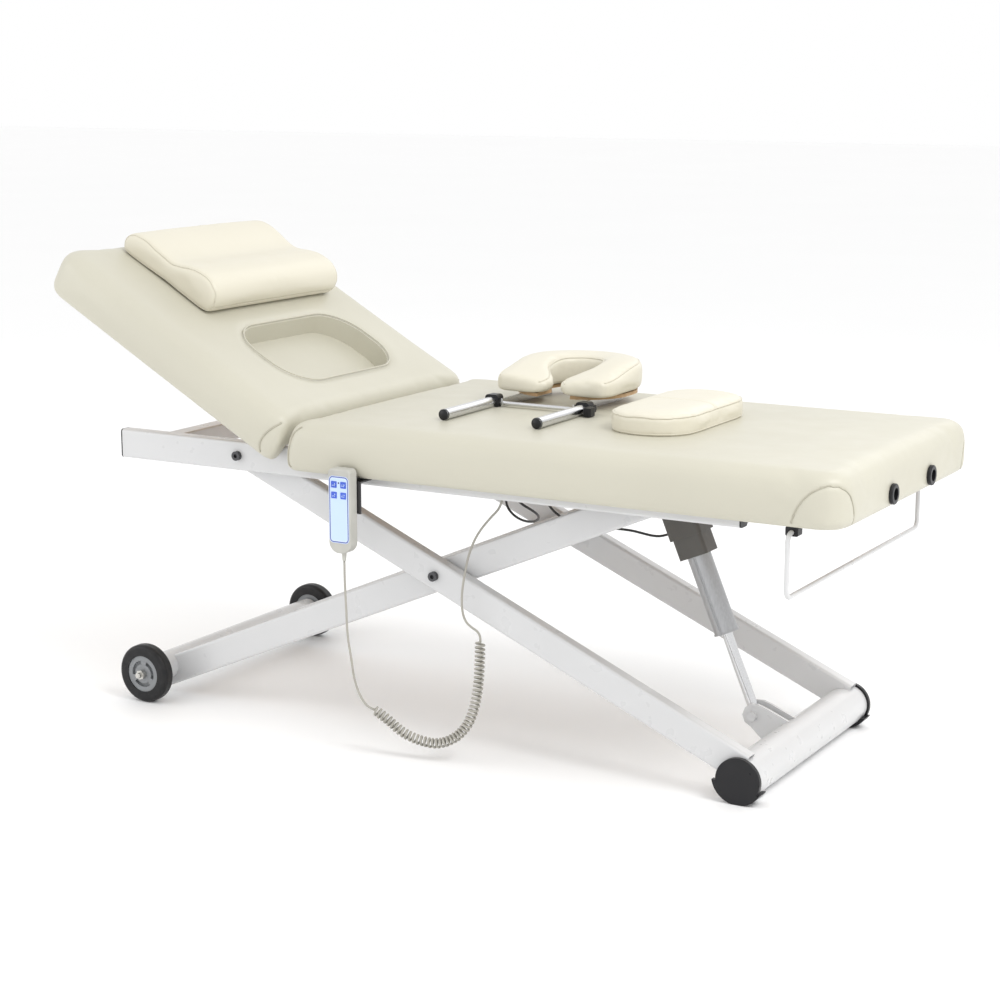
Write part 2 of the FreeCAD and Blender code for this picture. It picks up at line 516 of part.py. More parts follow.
w = wire_path().makePipeShell([Part.Wire(Part.Circle(V(WIRE_X, -300, WIRE_Z1), V(0, 1, 0), WIRE_R).toShape())], True, False)
if w.Volume < 0:
    w.reverse()
N["paper_roll_holder"] = w

# --------------------------------------------------------- loose soft pieces
def in_back(pts_or_shape):
    """Place a shape drawn with x = distance up the backrest, z = height over it."""
    s = pts_or_shape.copy()
    s = s.mirror(V(0, 0, 0), V(1, 0, 0))
    s.rotate(V(0, 0, 0), V(0, 1, 0), BACK_ANGLE)
    s.translate(V(-315.0, 0, 656.0))
    return s


prof = [(338, 1.0), (322, 8), (317, 25), (322, 50), (334, 63), (352, 72), (370, 75), (392, 73), (418, 66), (440, 55),
        (460, 50), (485, 50), (515, 54), (545, 56), (572, 53), (590, 43), (597, 29), (594, 12), (584, 1.0)]
N["pillow"] = in_back(prism_y(prof, -202, 262))

plug = rrbox(303, 482, -184, 176, 646.0, 692.0, (0, 0, 1), 80.0)
plug = plug.makeFillet(8.0, [e for e in plug.Edges if e.BoundBox.ZMin > 691.9])
N["face_hole_plug"] = plug

# ------------------------------------------------------- head cradle, stowed
CX, CZ = 88.0, 660.0
RODX = SOCKET_Y
rods = []
for sx in (-1, 1):
    x = CX + sx * RODX
    rods.append(cyl((x, -208, CZ), (0, 1, 0), 11.0, 216).cut(cyl((x, -209, CZ), (0, 1, 0), 9.4, 212)))
    rods.append(cyl((x, -212, CZ), (0, 1, 0), 11.0, 4).fuse(cyl((x, -208, CZ), (0, 1, 0), 9.3, 12)).removeSplitter())
CR_Y, CR_Z = -13.0, CZ - 2.0
cross_rod = cyl((CX - 88.9, CR_Y, CR_Z), (1, 0, 0), 4.0, 177.8)
lever_pin = cyl((CX + 112, CR_Y, CZ + 2.0), (1, 0, 0), 3.0, 14.0).fuse(cyl((CX + 125.6, CR_Y, CZ + 2.0), (1, 0, 0), 5.0, 2.5))
clamps = []
for sx in (-1, 1):
    x = CX + sx * RODX
    c = rrbox(x - 15, x + 15, -24, -2, CZ - 13, CZ + 15, (0, 1, 0), 7)
    if sx > 0:
        c = c.fuse(lever_pin)
    clamps.append(c.cut(cyl((x, -30, CZ), (0, 1, 0), 11.02, 60)).removeSplitter())
N["cradle_rods"] = comp(*(rods + [cross_rod]))
N["cradle_clamps"] = comp(*clamps)
arms = []
for sx in (-1, 1):
    xa = CX + sx * 82.0
    plate = box(xa - 2, xa + 2, -20, 190, CZ - 10, CZ + 8)
    arms.append(plate.cut(cyl((xa - 5, CR_Y, CR_Z), (1, 0, 0), 4.0 + RUN, 10)))
N["cradle_arms"] = comp(*arms)
lev_plate = box(CX + 119.2, CX + 125.2, -32, -4, CZ - 5, CZ + 9)
lev_grip = rrbox(CX + 119.2, CX + 136, -52, -28, CZ - 8, CZ + 9, (0, 0, 1), 4)
N["cradle_lever"] = lev_plate.fuse(lev_grip).removeSplitter().cut(cyl((CX + 110, CR_Y, CZ + 2.0), (1, 0, 0), 3.0 + RUN, 30))
pc = (93.0, 145.0)


def u_shape(w, d, gap, z0, z1, inset=0.0):
    """Crescent open towards -Y, centred on pc."""
    a, b = w / 2 - inset, d / 2 - inset
    s = rrbox(pc[0] - a, pc[0] + a, pc[1] - b, pc[1] + b, z0, z1, (0, 0, 1), min(a, b) * 0.86)
    g = gap / 2 + inset
    hole_ = cyl((pc[0], pc[1] + 8, z0 - 1), (0, 0, 1), 46 + inset, z1 - z0 + 2)
    slot_ = box(pc[0] - g, pc[0] + g, pc[1] - b - 5, pc[1] + 10, z0 - 1, z1 + 1)
    return s.cut(hole_).cut(slot_)


N["cradle_plate"] = u_shape(276, 250, 40, CZ + 8.0, CZ + 15.0, 18.0)
N["cradle_cushion"] = u_shape(276, 250, 40, CZ + 15.0, CZ + 82.0)

# -------------------------------------------------------------------- handset
HX0, HX1, HY0, HY1, HZ0, HZ1 = -172.0, -121.0, -387.0, -363.0, 401.0, 568.0
hcx = (HX0 + HX1) / 2
hs = box(HX0, HX1, HY0, HY1, HZ0, HZ1)
hs = hs.makeFillet(22.0, par_edges(hs, (0, 1, 0), lambda c: c.z < HZ0 + 1))
hs = hs.makeFillet(9.0, par_edges(hs, (0, 1, 0), lambda c: c.z > HZ1 - 1))
hs = hs.makeFillet(3.5, [e for e in hs.Edges if e.BoundBox.YMax < HY0 + 0.1])
pocket = rrbox(hcx - 22.9, hcx + 22.9, HY0 - 1, HY0 + 1.0, 422.0, 554.5, (0, 1, 0), 9.0)
hs = hs.cut(pocket)
slot = fuse(box(hcx - 5, hcx + 5, HY1 - 7, HY1 + 1, 486, 530), cyl((hcx, HY1 - 7, 530), (0, 1, 0), 5.0, 8),
            cyl((hcx, HY1 - 7, 486), (0, 1, 0), 5.0, 8))
hs = hs.cut(slot)
panel = rrbox(hcx - 22.8, hcx + 22.8, HY0 - 0.6, HY0 + 1.0, 422.1, 554.4, (0, 1, 0), 8.9)
for nm, bxx, bz in (("button_raise_bed", -10.8, 537.5), ("button_raise_back", 10.8, 537.5),
                    ("button_lower_bed", -10.8, 516.5), ("button_lower_back", 10.8, 516.5)):
    x = hcx + bxx
    panel = panel.cut(box(x - 6.5, x + 6.5, HY0 - 3, HY0 + 3, bz - 6.5, bz + 6.5))
    hs = hs.cut(box(x - 6.5, x + 6.5, HY0 - 3, HY0 + 4.5, bz - 6.5, bz + 6.5))
    N[nm] = rrbox(x - 6.2, x + 6.2, HY0 - 1.4, HY0 + 2.6, bz - 6.2, bz + 6.2, (0, 1, 0), 1.5)
N["handset_shell"] = hs
N["handset_panel"] = panel
rel = Part.makeCone(3.6, 5.0, 16.0, V(-144.0, -375.0, 385.0), V(0, 0, 1))
N["handset_relief"] = rel

# ----------------------------------------------------------------- the cords
lower_pts = [(-144, -375, 385), (-144, -375, 340), (-141, -375, 285), (-139, -376, 235), (-131, -375, 190),
             (-125, -375, 148), (-113, -374.5, 117), (-96, -375, 97), (-79, -375, 93.5)]
coil_pts = [(-79.0, -375.0, 93.5), (-52.0, -369.0, 76.5), (-24.0, -362.5, 52.5), (11.0, -354.0, 38.5), (50.0, -347.0, 34.5),
            (86.0, -340.0, 51.0), (110.0, -333.0, 79.0), (121.0, -327.0, 113.0), (125.0, -319.0, 154.0), (123.0, -309.0, 199.0),
            (118.5, -300.5, 241.0)]
upper_pts = [(118.5, -300.5, 241.0), (117.4, -298.4, 251.3), (110.5, -299.0, 260.0), (99.5, -299.8, 265.5), (88.5, -300.6, 273.0), (81.5, -301.3, 286.0),
             (78.3, -302.0, 306.0), (79.0, -302.0, 336.0), (84.5, -300.0, 372.0), (90.5, -294.0, 412.0), (101.5, -281.0, 448.0), (120.0, -263.0, 478.0),
             (137.0, -251.5, 498.0), (140.0, -250.0, 519.0)]
lift_cable_pts = [(175.0, -146.0, 526.0), (175.6, -145.5, 506.0), (181.5, -139.8, 485.0), (194.0, -127.3, 465.5), (215.0, -106.3, 448.5), (246.5, -79.9, 439.8),
                  (279.4, -54.2, 434.7), (306.7, -31.3, 429.7), (327.2, -14.05, 421.5), (344.0, -4.35, 416.7), (361.4, 0.0, 417.6), (378.0, 0.0, 424.6)]
back_cable_pts = [(110, -160, 526), (110, -160, 508), (118, -142, 484), (128, -112, 466), (126, -82, 450), (112, -56, 436), (90, -34, 424),
                  (62, -17, 418), (36, -6, 420), (16, -1.5, 430), (4, 0, 446), (4, 0, 465.4)]
N["handset_cord_lower"] = cord_tube(lower_pts, CORD_R, "lower")
N["handset_cord_coil"] = cord_tube(coil_pts, COIL_R, "coil")
N["handset_cord_upper"] = cord_tube(upper_pts, CORD_R, "upper")
# the cable to the tilting lift motor: one piece hangs from the control box, the other goes with the motor
LC = 4
ca, cb_ = lift_cable_pts[LC], lift_cable_pts[LC + 1]
joint_p = tuple(0.5 * (ca[i] + cb_[i]) for i in range(3))
N["lift_motor_cable"] = cord_tube(lift_cable_pts[:LC + 1] + [joint_p], MOTOR_CORD_R, "lift cable, fixed")
N["lift_motor_cable_end"] = cord_tube([joint_p] + lift_cable_pts[LC + 1:], MOTOR_CORD_R, "lift cable, moving")
N["back_motor_cable"] = cord_tube(back_cable_pts, MOTOR_CORD_R, "back cable")

# ------------------------------------------------------------------- writing
os.makedirs("parts", exist_ok=True)
CORDS = ("handset_cord_lower", "handset_cord_coil", "handset_cord_upper", "lift_motor_cable", "lift_motor_cable_end", "back_motor_cable")
bb_all = FreeCAD.BoundBox()
for name, s in N.items():
    s = s.copy()
    s.translate(V(SHIFT_X, SHIFT_Y, 0))
    if name not in CORDS:
        bb_all.add(s.BoundBox)
    if not s.isValid() or not s.Solids or min(k.Volume for k in s.Solids) <= 0:
        print("CHECK", name, s.isValid(), len(s.Solids), s.Volume)
    s.exportStep("parts/%s.step" % name)
print(len(N), "nodes; box centre %.2f %.2f, z from %.2f" % (bb_all.Center.x, bb_all.Center.y, bb_all.ZMin), "size %.1f %.1f %.1f" % (bb_all.XLength, bb_all.YLength, bb_all.ZLength))
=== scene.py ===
import bpy
import bmesh
import json
import math
import numpy as np
from mathutils import Matrix, Vector
from mathutils.bvhtree import BVHTree
from mathutils.kdtree import KDTree


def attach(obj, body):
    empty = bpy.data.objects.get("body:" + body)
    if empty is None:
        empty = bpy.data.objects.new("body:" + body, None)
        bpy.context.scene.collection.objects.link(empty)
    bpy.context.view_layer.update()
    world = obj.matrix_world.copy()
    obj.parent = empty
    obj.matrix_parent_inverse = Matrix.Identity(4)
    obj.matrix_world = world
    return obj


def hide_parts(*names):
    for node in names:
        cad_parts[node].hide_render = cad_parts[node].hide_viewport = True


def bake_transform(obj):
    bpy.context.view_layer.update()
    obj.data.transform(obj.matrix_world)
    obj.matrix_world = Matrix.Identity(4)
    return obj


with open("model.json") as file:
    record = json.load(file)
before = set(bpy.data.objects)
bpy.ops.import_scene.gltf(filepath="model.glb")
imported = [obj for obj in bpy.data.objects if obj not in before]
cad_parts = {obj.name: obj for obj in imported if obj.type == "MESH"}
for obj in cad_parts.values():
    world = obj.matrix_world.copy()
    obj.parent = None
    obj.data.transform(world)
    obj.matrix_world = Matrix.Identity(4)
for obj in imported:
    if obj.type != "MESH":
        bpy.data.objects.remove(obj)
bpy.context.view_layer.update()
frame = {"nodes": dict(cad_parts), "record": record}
NODES = frame["nodes"]
scene = bpy.context.scene

# The model is drawn in the CAD source's working frame, in millimetres: X = 0 at
# the scissor's middle pivot and Y = 0 on the centre plane.
SX, SY = 0.0203, 0.0142
TH = math.radians(29.5)


def P(x, y, z):
    return Vector((x / 1000 + SX, y / 1000 + SY, z / 1000))


def B(u, v, w):
    """Backrest: u up the slope, v across, w out of the lying surface."""
    return P(-315 - u * math.cos(TH) + w * math.sin(TH), v, 656 + u * math.sin(TH) + w * math.cos(TH))


# --------------------------------------------------------------------- camera
cam = bpy.data.objects.new("camera", bpy.data.cameras.new("camera"))
scene.collection.objects.link(cam)
cam.location = P(2147.1, -3753.0, 1341.2)
cam.rotation_euler = (math.radians(78.401), 0, math.radians(29.887))
cam.data.lens, cam.data.sensor_width = 77.25, 36.0
cam.data.clip_end = 100
scene.camera = cam


# ------------------------------------------------------------------ materials
class Mat:
    def __init__(self, name):
        self.m = bpy.data.materials.new(name)
        self.m.use_nodes = True
        self.nt = self.m.node_tree
        self.b = self.nt.nodes["Principled BSDF"]
        self.co = self.add("ShaderNodeTexCoord").outputs["Object"]
        self.height = None

    def add(self, kind, **k):
        n = self.nt.nodes.new(kind)
        for a, v in k.items():
            setattr(n, a, v)
        return n

    def link(self, a, b):
        self.nt.links.new(a, b)
        return a

    def mapping(self, scale):
        n = self.add("ShaderNodeMapping")
        n.inputs["Scale"].default_value = scale
        self.link(self.co, n.inputs["Vector"])
        return n.outputs[0]

    def noise(self, scale, detail=3.0, rough=0.5, co=None):
        n = self.add("ShaderNodeTexNoise")
        n.inputs["Scale"].default_value = scale
        n.inputs["Detail"].default_value = detail
        n.inputs["Roughness"].default_value = rough
        self.link(co or self.co, n.inputs["Vector"])
        return n.outputs["Fac"]

    def voronoi(self, scale, feature="F1", co=None):
        n = self.add("ShaderNodeTexVoronoi", feature=feature)
        n.inputs["Scale"].default_value = scale
        self.link(co or self.co, n.inputs["Vector"])
        return n.outputs["Distance"]

    def ramp(self, fac, stops):
        n = self.add("ShaderNodeValToRGB")
        e = n.color_ramp.elements
        while len(e) < len(stops):
            e.new(0.5)
        for k, (p, c) in zip(e, stops):
            k.position = p
            k.color = (*c, 1) if len(c) == 3 else c
        self.link(fac, n.inputs["Fac"])
        return n.outputs["Color"]

    def math(self, op, a, b=None, clamp=False):
        n = self.add("ShaderNodeMath", operation=op, use_clamp=clamp)
        for i, v in enumerate((a, b)):
            if v is None:
                continue
            if isinstance(v, (int, float)):
                n.inputs[i].default_value = v
            else:
                self.link(v, n.inputs[i])
        return n.outputs[0]

    def maprange(self, v, a, b, c, d):
        n = self.add("ShaderNodeMapRange")
        for k, x in zip(("From Min", "From Max", "To Min", "To Max"), (a, b, c, d)):
            n.inputs[k].default_value = x
        self.link(v, n.inputs["Value"])
        return n.outputs["Result"]

    def mix(self, fac, a, b, blend="MIX"):
        n = self.add("ShaderNodeMix", data_type="RGBA", blend_type=blend)
        for key, v in (("Factor", fac), ("A", a), ("B", b)):
            s = [i for i in n.inputs if i.name == key and (i.type == "RGBA" or key == "Factor" and i.type == "VALUE")][0]
            if isinstance(v, (int, float)):
                s.default_value = v
            elif isinstance(v, (tuple, list)):
                s.default_value = (*v, 1)
            else:
                self.link(v, s)
        return [o for o in n.outputs if o.type == "RGBA"][0]

    def bump(self, h, dist, strength=1.0, normal=None):
        n = self.add("ShaderNodeBump")
        n.inputs["Strength"].default_value = strength
        n.inputs["Distance"].default_value = dist
        self.link(h, n.inputs["Height"])
        if self.height is not None:
            self.link(self.height, n.inputs["Normal"])
        elif normal is not None:
            self.link(normal, n.inputs["Normal"])
        self.height = n.outputs["Normal"]
        self.link(self.height, self.b.inputs["Normal"])
        return self

    def bevel(self, radius):
        n = self.add("ShaderNodeBevel", samples=4)
        n.inputs["Radius"].default_value = radius
        self.height = n.outputs["Normal"]
        self.link(self.height, self.b.inputs["Normal"])
        g = self.add("ShaderNodeNewGeometry")
        d = self.add("ShaderNodeVectorMath", operation="DOT_PRODUCT")
        self.link(n.outputs["Normal"], d.inputs[0])
        self.link(g.outputs["Normal"], d.inputs[1])
        return self.maprange(d.outputs["Value"], 0.955, 0.80, 0.0, 1.0)

    def set(self, **k):
        for a, v in k.items():
            s = self.b.inputs[a.replace("_", " ")]
            if isinstance(v, (int, float)):
                s.default_value = v
            elif isinstance(v, (tuple, list)):
                s.default_value = (*v, 1) if len(v) == 3 else v
            else:
                self.link(v, s)
        return self


def vinyl(name, base, warm):
    m = Mat(name)
    blotch = m.noise(3.2, 3.0)
    fine = m.noise(240, 2.0)
    c = m.mix(m.maprange(blotch, 0.35, 0.65, 0.0, 1.0), base, warm)
    c = m.mix(m.maprange(fine, 0.3, 0.7, 0.0, 0.10), c, tuple(x * 0.93 for x in base))
    m.set(Base_Color=c, Roughness=m.maprange(m.noise(14, 4.0), 0.3, 0.7, 0.36, 0.47), Coat_Weight=0.10, Coat_Roughness=0.32)
    m.bump(m.noise(11, 2.0), 0.0011, 0.55)
    m.bump(m.voronoi(620, "SMOOTH_F1"), 0.00010, 0.55)
    m.bump(m.noise(1900, 2.0), 0.00003, 0.5)
    return m.m


CREAM = vinyl("cream_vinyl", (0.560, 0.540, 0.448), (0.542, 0.522, 0.433))
CREAM_LIGHT = vinyl("cream_vinyl_loose", (0.690, 0.655, 0.545), (0.674, 0.640, 0.530))
PIPING = vinyl("cream_piping", (0.440, 0.418, 0.335), (0.425, 0.403, 0.322))
PIPING_LIGHT = vinyl("cream_piping_loose", (0.650, 0.616, 0.508), (0.636, 0.602, 0.496))


def powder(name, base, rough=0.30):
    m = Mat(name)
    edge = m.bevel(0.0012)
    v = m.maprange(m.noise(6, 3.0), 0.35, 0.65, 0.0, 1.0)
    c = m.mix(v, base, tuple(x * 0.975 for x in base))
    c = m.mix(m.math("MULTIPLY", edge, m.maprange(m.noise(60, 3.0), 0.5, 0.8, 0.0, 0.12)), c, tuple(x * 0.92 for x in base))
    m.set(Base_Color=c, Roughness=m.maprange(m.noise(30, 3.0), 0.3, 0.7, rough - 0.04, rough + 0.06), Coat_Weight=0.25, Coat_Roughness=0.12)
    m.bump(m.noise(900, 2.0), 0.00005, 0.5)
    return m.m


WHITE = powder("white_powder_coat", (0.635, 0.637, 0.641))


def plastic(name, base, rough=0.38, grain=1500, depth=0.00005, edgec=1.6, coat=0.0):
    m = Mat(name)
    edge = m.bevel(0.0008)
    v = m.maprange(m.noise(20, 3.0), 0.35, 0.65, 0.0, 1.0)
    c = m.mix(v, base, tuple(x * 0.9 for x in base))
    c = m.mix(m.math("MULTIPLY", edge, 0.4), c, tuple(min(1.0, x * edgec) for x in base))
    m.set(Base_Color=c, Roughness=m.maprange(m.noise(70, 3.0), 0.3, 0.7, rough - 0.05, rough + 0.07), Coat_Weight=coat, Coat_Roughness=0.15)
    m.bump(m.noise(grain, 2.0), depth, 0.6)
    return m.m


BLACK = plastic("black_plastic", (0.014, 0.014, 0.016), 0.32)
BLACK.node_tree.nodes["Principled BSDF"].inputs["Specular IOR Level"].default_value = 0.30
MOTOR = plastic("motor_plastic", (0.105, 0.100, 0.090), 0.42)
BEIGE = plastic("handset_plastic", (0.500, 0.495, 0.455), 0.40, 2200, 0.00003, 1.06)
BLUE = plastic("button_membrane", (0.045, 0.115, 0.640), 0.30, 2600, 0.00002, 1.3, 0.2)
ICON = plastic("icon_ink", (0.55, 0.70, 0.95), 0.4, 2600, 0.00001, 1.0)
CORD = plastic("cord_jacket", (0.400, 0.385, 0.340), 0.42, 1200, 0.00004, 1.0)
CABLE = plastic("cable_jacket", (0.022, 0.022, 0.022), 0.45, 1200, 0.00004, 1.0)
HUB = plastic("hub_plastic", (0.235, 0.245, 0.255), 0.36)


def tyre_mat():
    m = Mat("tyre_rubber")
    dust = m.maprange(m.noise(45, 5.0, 0.65), 0.45, 0.75, 0.0, 1.0)
    c = m.mix(dust, (0.011, 0.011, 0.012), (0.022, 0.021, 0.021))
    m.set(Base_Color=c, Roughness=m.maprange(m.noise(120, 4.0), 0.3, 0.7, 0.34, 0.50), Specular_IOR_Level=0.28, Coat_Weight=0.03, Coat_Roughness=0.25)
    m.bump(m.noise(700, 3.0), 0.00008, 0.6)
    return m.m


TYRE = tyre_mat()


def metal(name, base, rough, stretch=(1, 1, 1), depth=0.00003, wear=True):
    m = Mat(name)
    edge = m.bevel(0.0006)
    brushed = m.noise(420, 3.0, 0.6, m.mapping(stretch))
    c = m.mix(m.maprange(brushed, 0.3, 0.7, 0.0, 1.0), base, tuple(x * 0.88 for x in base))
    if wear:
        c = m.mix(m.math("MULTIPLY", edge, 0.45), c, tuple(min(1.0, x * 1.25) for x in base))
    m.set(Base_Color=c, Metallic=1.0, Roughness=m.maprange(brushed, 0.3, 0.7, rough - 0.05, rough + 0.08))
    m.bump(brushed, depth, 0.5)
    return m.m


STEEL = metal("zinc_steel", (0.62, 0.61, 0.58), 0.34)
CHROME = metal("hard_chrome", (0.74, 0.745, 0.755), 0.16)
DARK_STEEL = metal("blackened_steel", (0.10, 0.10, 0.105), 0.38)
ALU = metal("satin_aluminium", (0.46, 0.465, 0.475), 0.36, (1, 1, 0.05))
ALU_ROD = metal("polished_tube", (0.70, 0.705, 0.715), 0.22, (1, 0.05, 1))


def wood(name, base, dark, axis=(1, 12, 12)):
    m = Mat(name)
    g = m.noise(16, 5.0, 0.6, m.mapping(axis))
    w = m.add("ShaderNodeTexWave", wave_type="BANDS", bands_direction="Y")
    w.inputs["Scale"].default_value = 9
    w.inputs["Distortion"].default_value = 6
    w.inputs["Detail"].default_value = 3
    m.link(m.mapping((0.15, 1, 1)), w.inputs["Vector"])
    c = m.mix(m.maprange(g, 0.3, 0.7, 0.0, 1.0), base, dark)
    c = m.mix(m.math("MULTIPLY", w.outputs["Fac"], 0.18), c, tuple(x * 0.7 for x in dark))
    m.set(Base_Color=c, Roughness=0.52)
    m.bump(g, 0.0001, 0.4)
    return m.m


PLY = wood("birch_ply", (0.58, 0.40, 0.23), (0.46, 0.29, 0.15))


def panel_mat():
    """Keypad: dark outline, pale border, light fill; a rounded frame in the plane of the panel."""
    m = Mat("keypad_membrane")
    cx, cz = -146.5 / 1000 + SX, 488.25 / 1000
    sep = m.add("ShaderNodeSeparateXYZ")
    m.link(m.co, sep.inputs[0])

    def dist(hx, hz, r):
        qx = m.math("SUBTRACT", m.math("ABSOLUTE", m.math("SUBTRACT", sep.outputs["X"], cx)), hx - r)
        qz = m.math("SUBTRACT", m.math("ABSOLUTE", m.math("SUBTRACT", sep.outputs["Z"], cz)), hz - r)
        mx, mz = m.math("MAXIMUM", qx, 0.0), m.math("MAXIMUM", qz, 0.0)
        return m.math("SUBTRACT", m.math("SQRT", m.math("ADD", m.math("MULTIPLY", mx, mx), m.math("MULTIPLY", mz, mz))), r)

    outer = dist(0.0228, 0.06615, 0.009)
    line = m.math("MULTIPLY", m.math("GREATER_THAN", outer, -0.0032), m.math("LESS_THAN", outer, -0.0010))
    inner = m.math("LESS_THAN", outer, -0.0046)
    led = m.add("ShaderNodeVectorMath", operation="DISTANCE")
    m.link(m.co, led.inputs[0])
    led.inputs[1].default_value = P(-146.5, -387.6, 541.0)
    dot = m.math("LESS_THAN", led.outputs["Value"], 0.0021)
    tone = m.maprange(m.noise(60, 2.0), 0.3, 0.7, 0.0, 0.12)
    c = m.mix(tone, (0.66, 0.76, 0.96), (0.60, 0.71, 0.94))
    c = m.mix(inner, c, (0.555, 0.700, 0.975))
    c = m.mix(line, c, (0.060, 0.095, 0.360))
    c = m.mix(dot, c, (0.10, 0.12, 0.20))
    m.set(Base_Color=c, Roughness=0.30, Coat_Weight=0.4, Coat_Roughness=0.1)
    m.bump(m.noise(2600, 2.0), 0.00002, 0.4)
    return m.m


PANEL = panel_mat()

FINISH = {
    "white_frame": WHITE, "black_plastic": BLACK, "plywood": PLY, "steel": STEEL, "dark_steel": DARK_STEEL,
    "motor_grey": MOTOR, "aluminium": ALU, "chrome": CHROME, "tyre_rubber": TYRE, "hub_grey": HUB,
    "handset_beige": BEIGE, "keypad_blue": PANEL, "button_blue": BLUE, "cord_grey": CORD, "cable_dark": CABLE,
    "cream_vinyl": CREAM,
}
for row in frame["record"]["subparts"]:
    o = NODES[row["node"]]
    o.data.materials.clear()
    o.data.materials.append(FINISH[row["material_slot"]])
for n in ("cradle_rods", "cradle_arms"):
    NODES[n].data.materials[0] = ALU_ROD


# --------------------------------------------------------------- mesh helpers
def obj_from(name, verts, faces, material, smooth=True):
    me = bpy.data.meshes.new(name)
    me.from_pydata([tuple(v) for v in verts], [], faces)
    me.validate()
    o = bpy.data.objects.new(name, me)
    scene.collection.objects.link(o)
    me.materials.append(material)
    for p in me.polygons:
        p.use_smooth = smooth
    return o


def coords(o):
    a = np.zeros(len(o.data.vertices) * 3)
    o.data.vertices.foreach_get("co", a)
    return a.reshape(-1, 3)


def set_coords(o, a):
    o.data.vertices.foreach_set("co", a.astype(np.float32).ravel())
    o.data.update()


def bake(o):
    """Apply every modifier."""
    dg = bpy.context.evaluated_depsgraph_get()
    me = bpy.data.meshes.new_from_object(o.evaluated_get(dg))
    o.modifiers.clear()
    old = o.data
    o.data = me
    bpy.data.meshes.remove(old)
    return o


def sphere_dirs(n=7):
    out = []
    for i in range(n + 1):
        t = math.pi * i / n
        k = max(1, int(round(2 * n * math.sin(t))))
        for j in range(k):
            f = 2 * math.pi * j / k
            out.append((math.sin(t) * math.cos(f), math.sin(t) * math.sin(f), math.cos(t)))
    return np.array(out)


DIRS = sphere_dirs(9)


def hull(name, spheres, place, material):
    """Convex hull of spheres given as (x, y, z, r) in millimetres; place turns mm points into the row frame."""
    pts = np.concatenate([DIRS * r + np.array([x, y, z]) for x, y, z, r in spheres])
    bm = bmesh.new()
    for p in pts:
        bm.verts.new(place(*p))
    bmesh.ops.convex_hull(bm, input=bm.verts)
    loose = [v for v in bm.verts if not v.link_faces]
    bmesh.ops.delete(bm, geom=loose, context="VERTS")
    bmesh.ops.recalc_face_normals(bm, faces=bm.faces)
    me = bpy.data.meshes.new(name)
    bm.to_mesh(me)
    bm.free()
    o = bpy.data.objects.new(name, me)
    scene.collection.objects.link(o)
    me.materials.append(material)
    return o


def cut(o, *cutters):
    for c in cutters:
        m = o.modifiers.new("cut", "BOOLEAN")
        m.operation, m.solver, m.object = "DIFFERENCE", "EXACT", c
        bake(o)
        bpy.data.objects.remove(c)
    return o


def remesh(o, size, smooth=6, factor=0.5):
    m = o.modifiers.new("remesh", "REMESH")
    m.mode, m.voxel_size, m.adaptivity = "VOXEL", size, 0
    if smooth:
        s = o.modifiers.new("smooth", "SMOOTH")
        s.factor, s.iterations = factor, smooth
    return bake(o)


def puff(o, cap, mask, pressure=4.0, frames=20):
    """Cloth under inner pressure; no point moves more than cap, and mask scales that point by point."""
    rest = coords(o)
    m = o.modifiers.new("cloth", "CLOTH")
    s = m.settings
    s.quality, s.mass, s.air_damping = 3, 0.3, 1.0
    s.tension_stiffness = s.compression_stiffness = 15
    s.shear_stiffness, s.bending_stiffness = 5, 0.8
    s.use_pressure, s.uniform_pressure_force = True, pressure
    s.effector_weights.gravity = 0
    m.collision_settings.use_collision = m.collision_settings.use_self_collision = False
    m.point_cache.frame_start, m.point_cache.frame_end = 1, frames
    for f in range(1, frames + 1):
        scene.frame_set(f)
    dg = bpy.context.evaluated_depsgraph_get()
    ev = o.evaluated_get(dg)
    moved = np.zeros(len(ev.data.vertices) * 3)
    ev.data.vertices.foreach_get("co", moved)
    moved = moved.reshape(-1, 3)
    o.modifiers.clear()
    scene.frame_set(1)
    d = moved - rest
    length = np.linalg.norm(d, axis=1)[:, None]
    limit = cap * np.tanh(length / cap) / np.maximum(length, 1e-9)
    set_coords(o, rest + d * limit * mask(rest)[:, None])
    s = o.modifiers.new("even", "SMOOTH")
    s.factor, s.iterations = 0.5, 3
    return bake(o)


def finish_soft(o, levels=1):
    if levels:
        m = o.modifiers.new("subdivision", "SUBSURF")
        m.levels = m.render_levels = levels
        bake(o)
    for p in o.data.polygons:
        p.use_smooth = True
    return o


def smoothstep(x, a, b):
    t = np.clip((x - a) / (b - a), 0, 1)
    return t * t * (3 - 2 * t)


def resample(pts, step):
    a = np.array([tuple(p) for p in pts], float)
    d = np.r_[0, np.cumsum(np.linalg.norm(np.diff(a, axis=0), axis=1))]
    n = max(2, int(round(d[-1] / step)) + 1)
    t = np.linspace(0, d[-1], n)
    return np.stack([np.interp(t, d, a[:, i]) for i in range(3)], 1)


def soften(a, rounds, closed=False):
    for _ in range(rounds):
        b = a.copy()
        if closed:
            b = 0.5 * a + 0.25 * (np.roll(a, 1, 0) + np.roll(a, -1, 0))
        else:
            b[1:-1] = 0.5 * a[1:-1] + 0.25 * (a[:-2] + a[2:])
        a = b
    return a


def bvh_of(o):
    return BVHTree.FromPolygons([v.co.copy() for v in o.data.vertices], [list(p.vertices) for p in o.data.polygons])


def on_surface(tree, pts, lift=0.0):
    out, nor = [], []
    for p in pts:
        co, n, _, _ = tree.find_nearest(Vector(p))
        out.append(np.array(co) + np.array(n) * lift)
        nor.append(np.array(n))
    return np.array(out), np.array(nor)


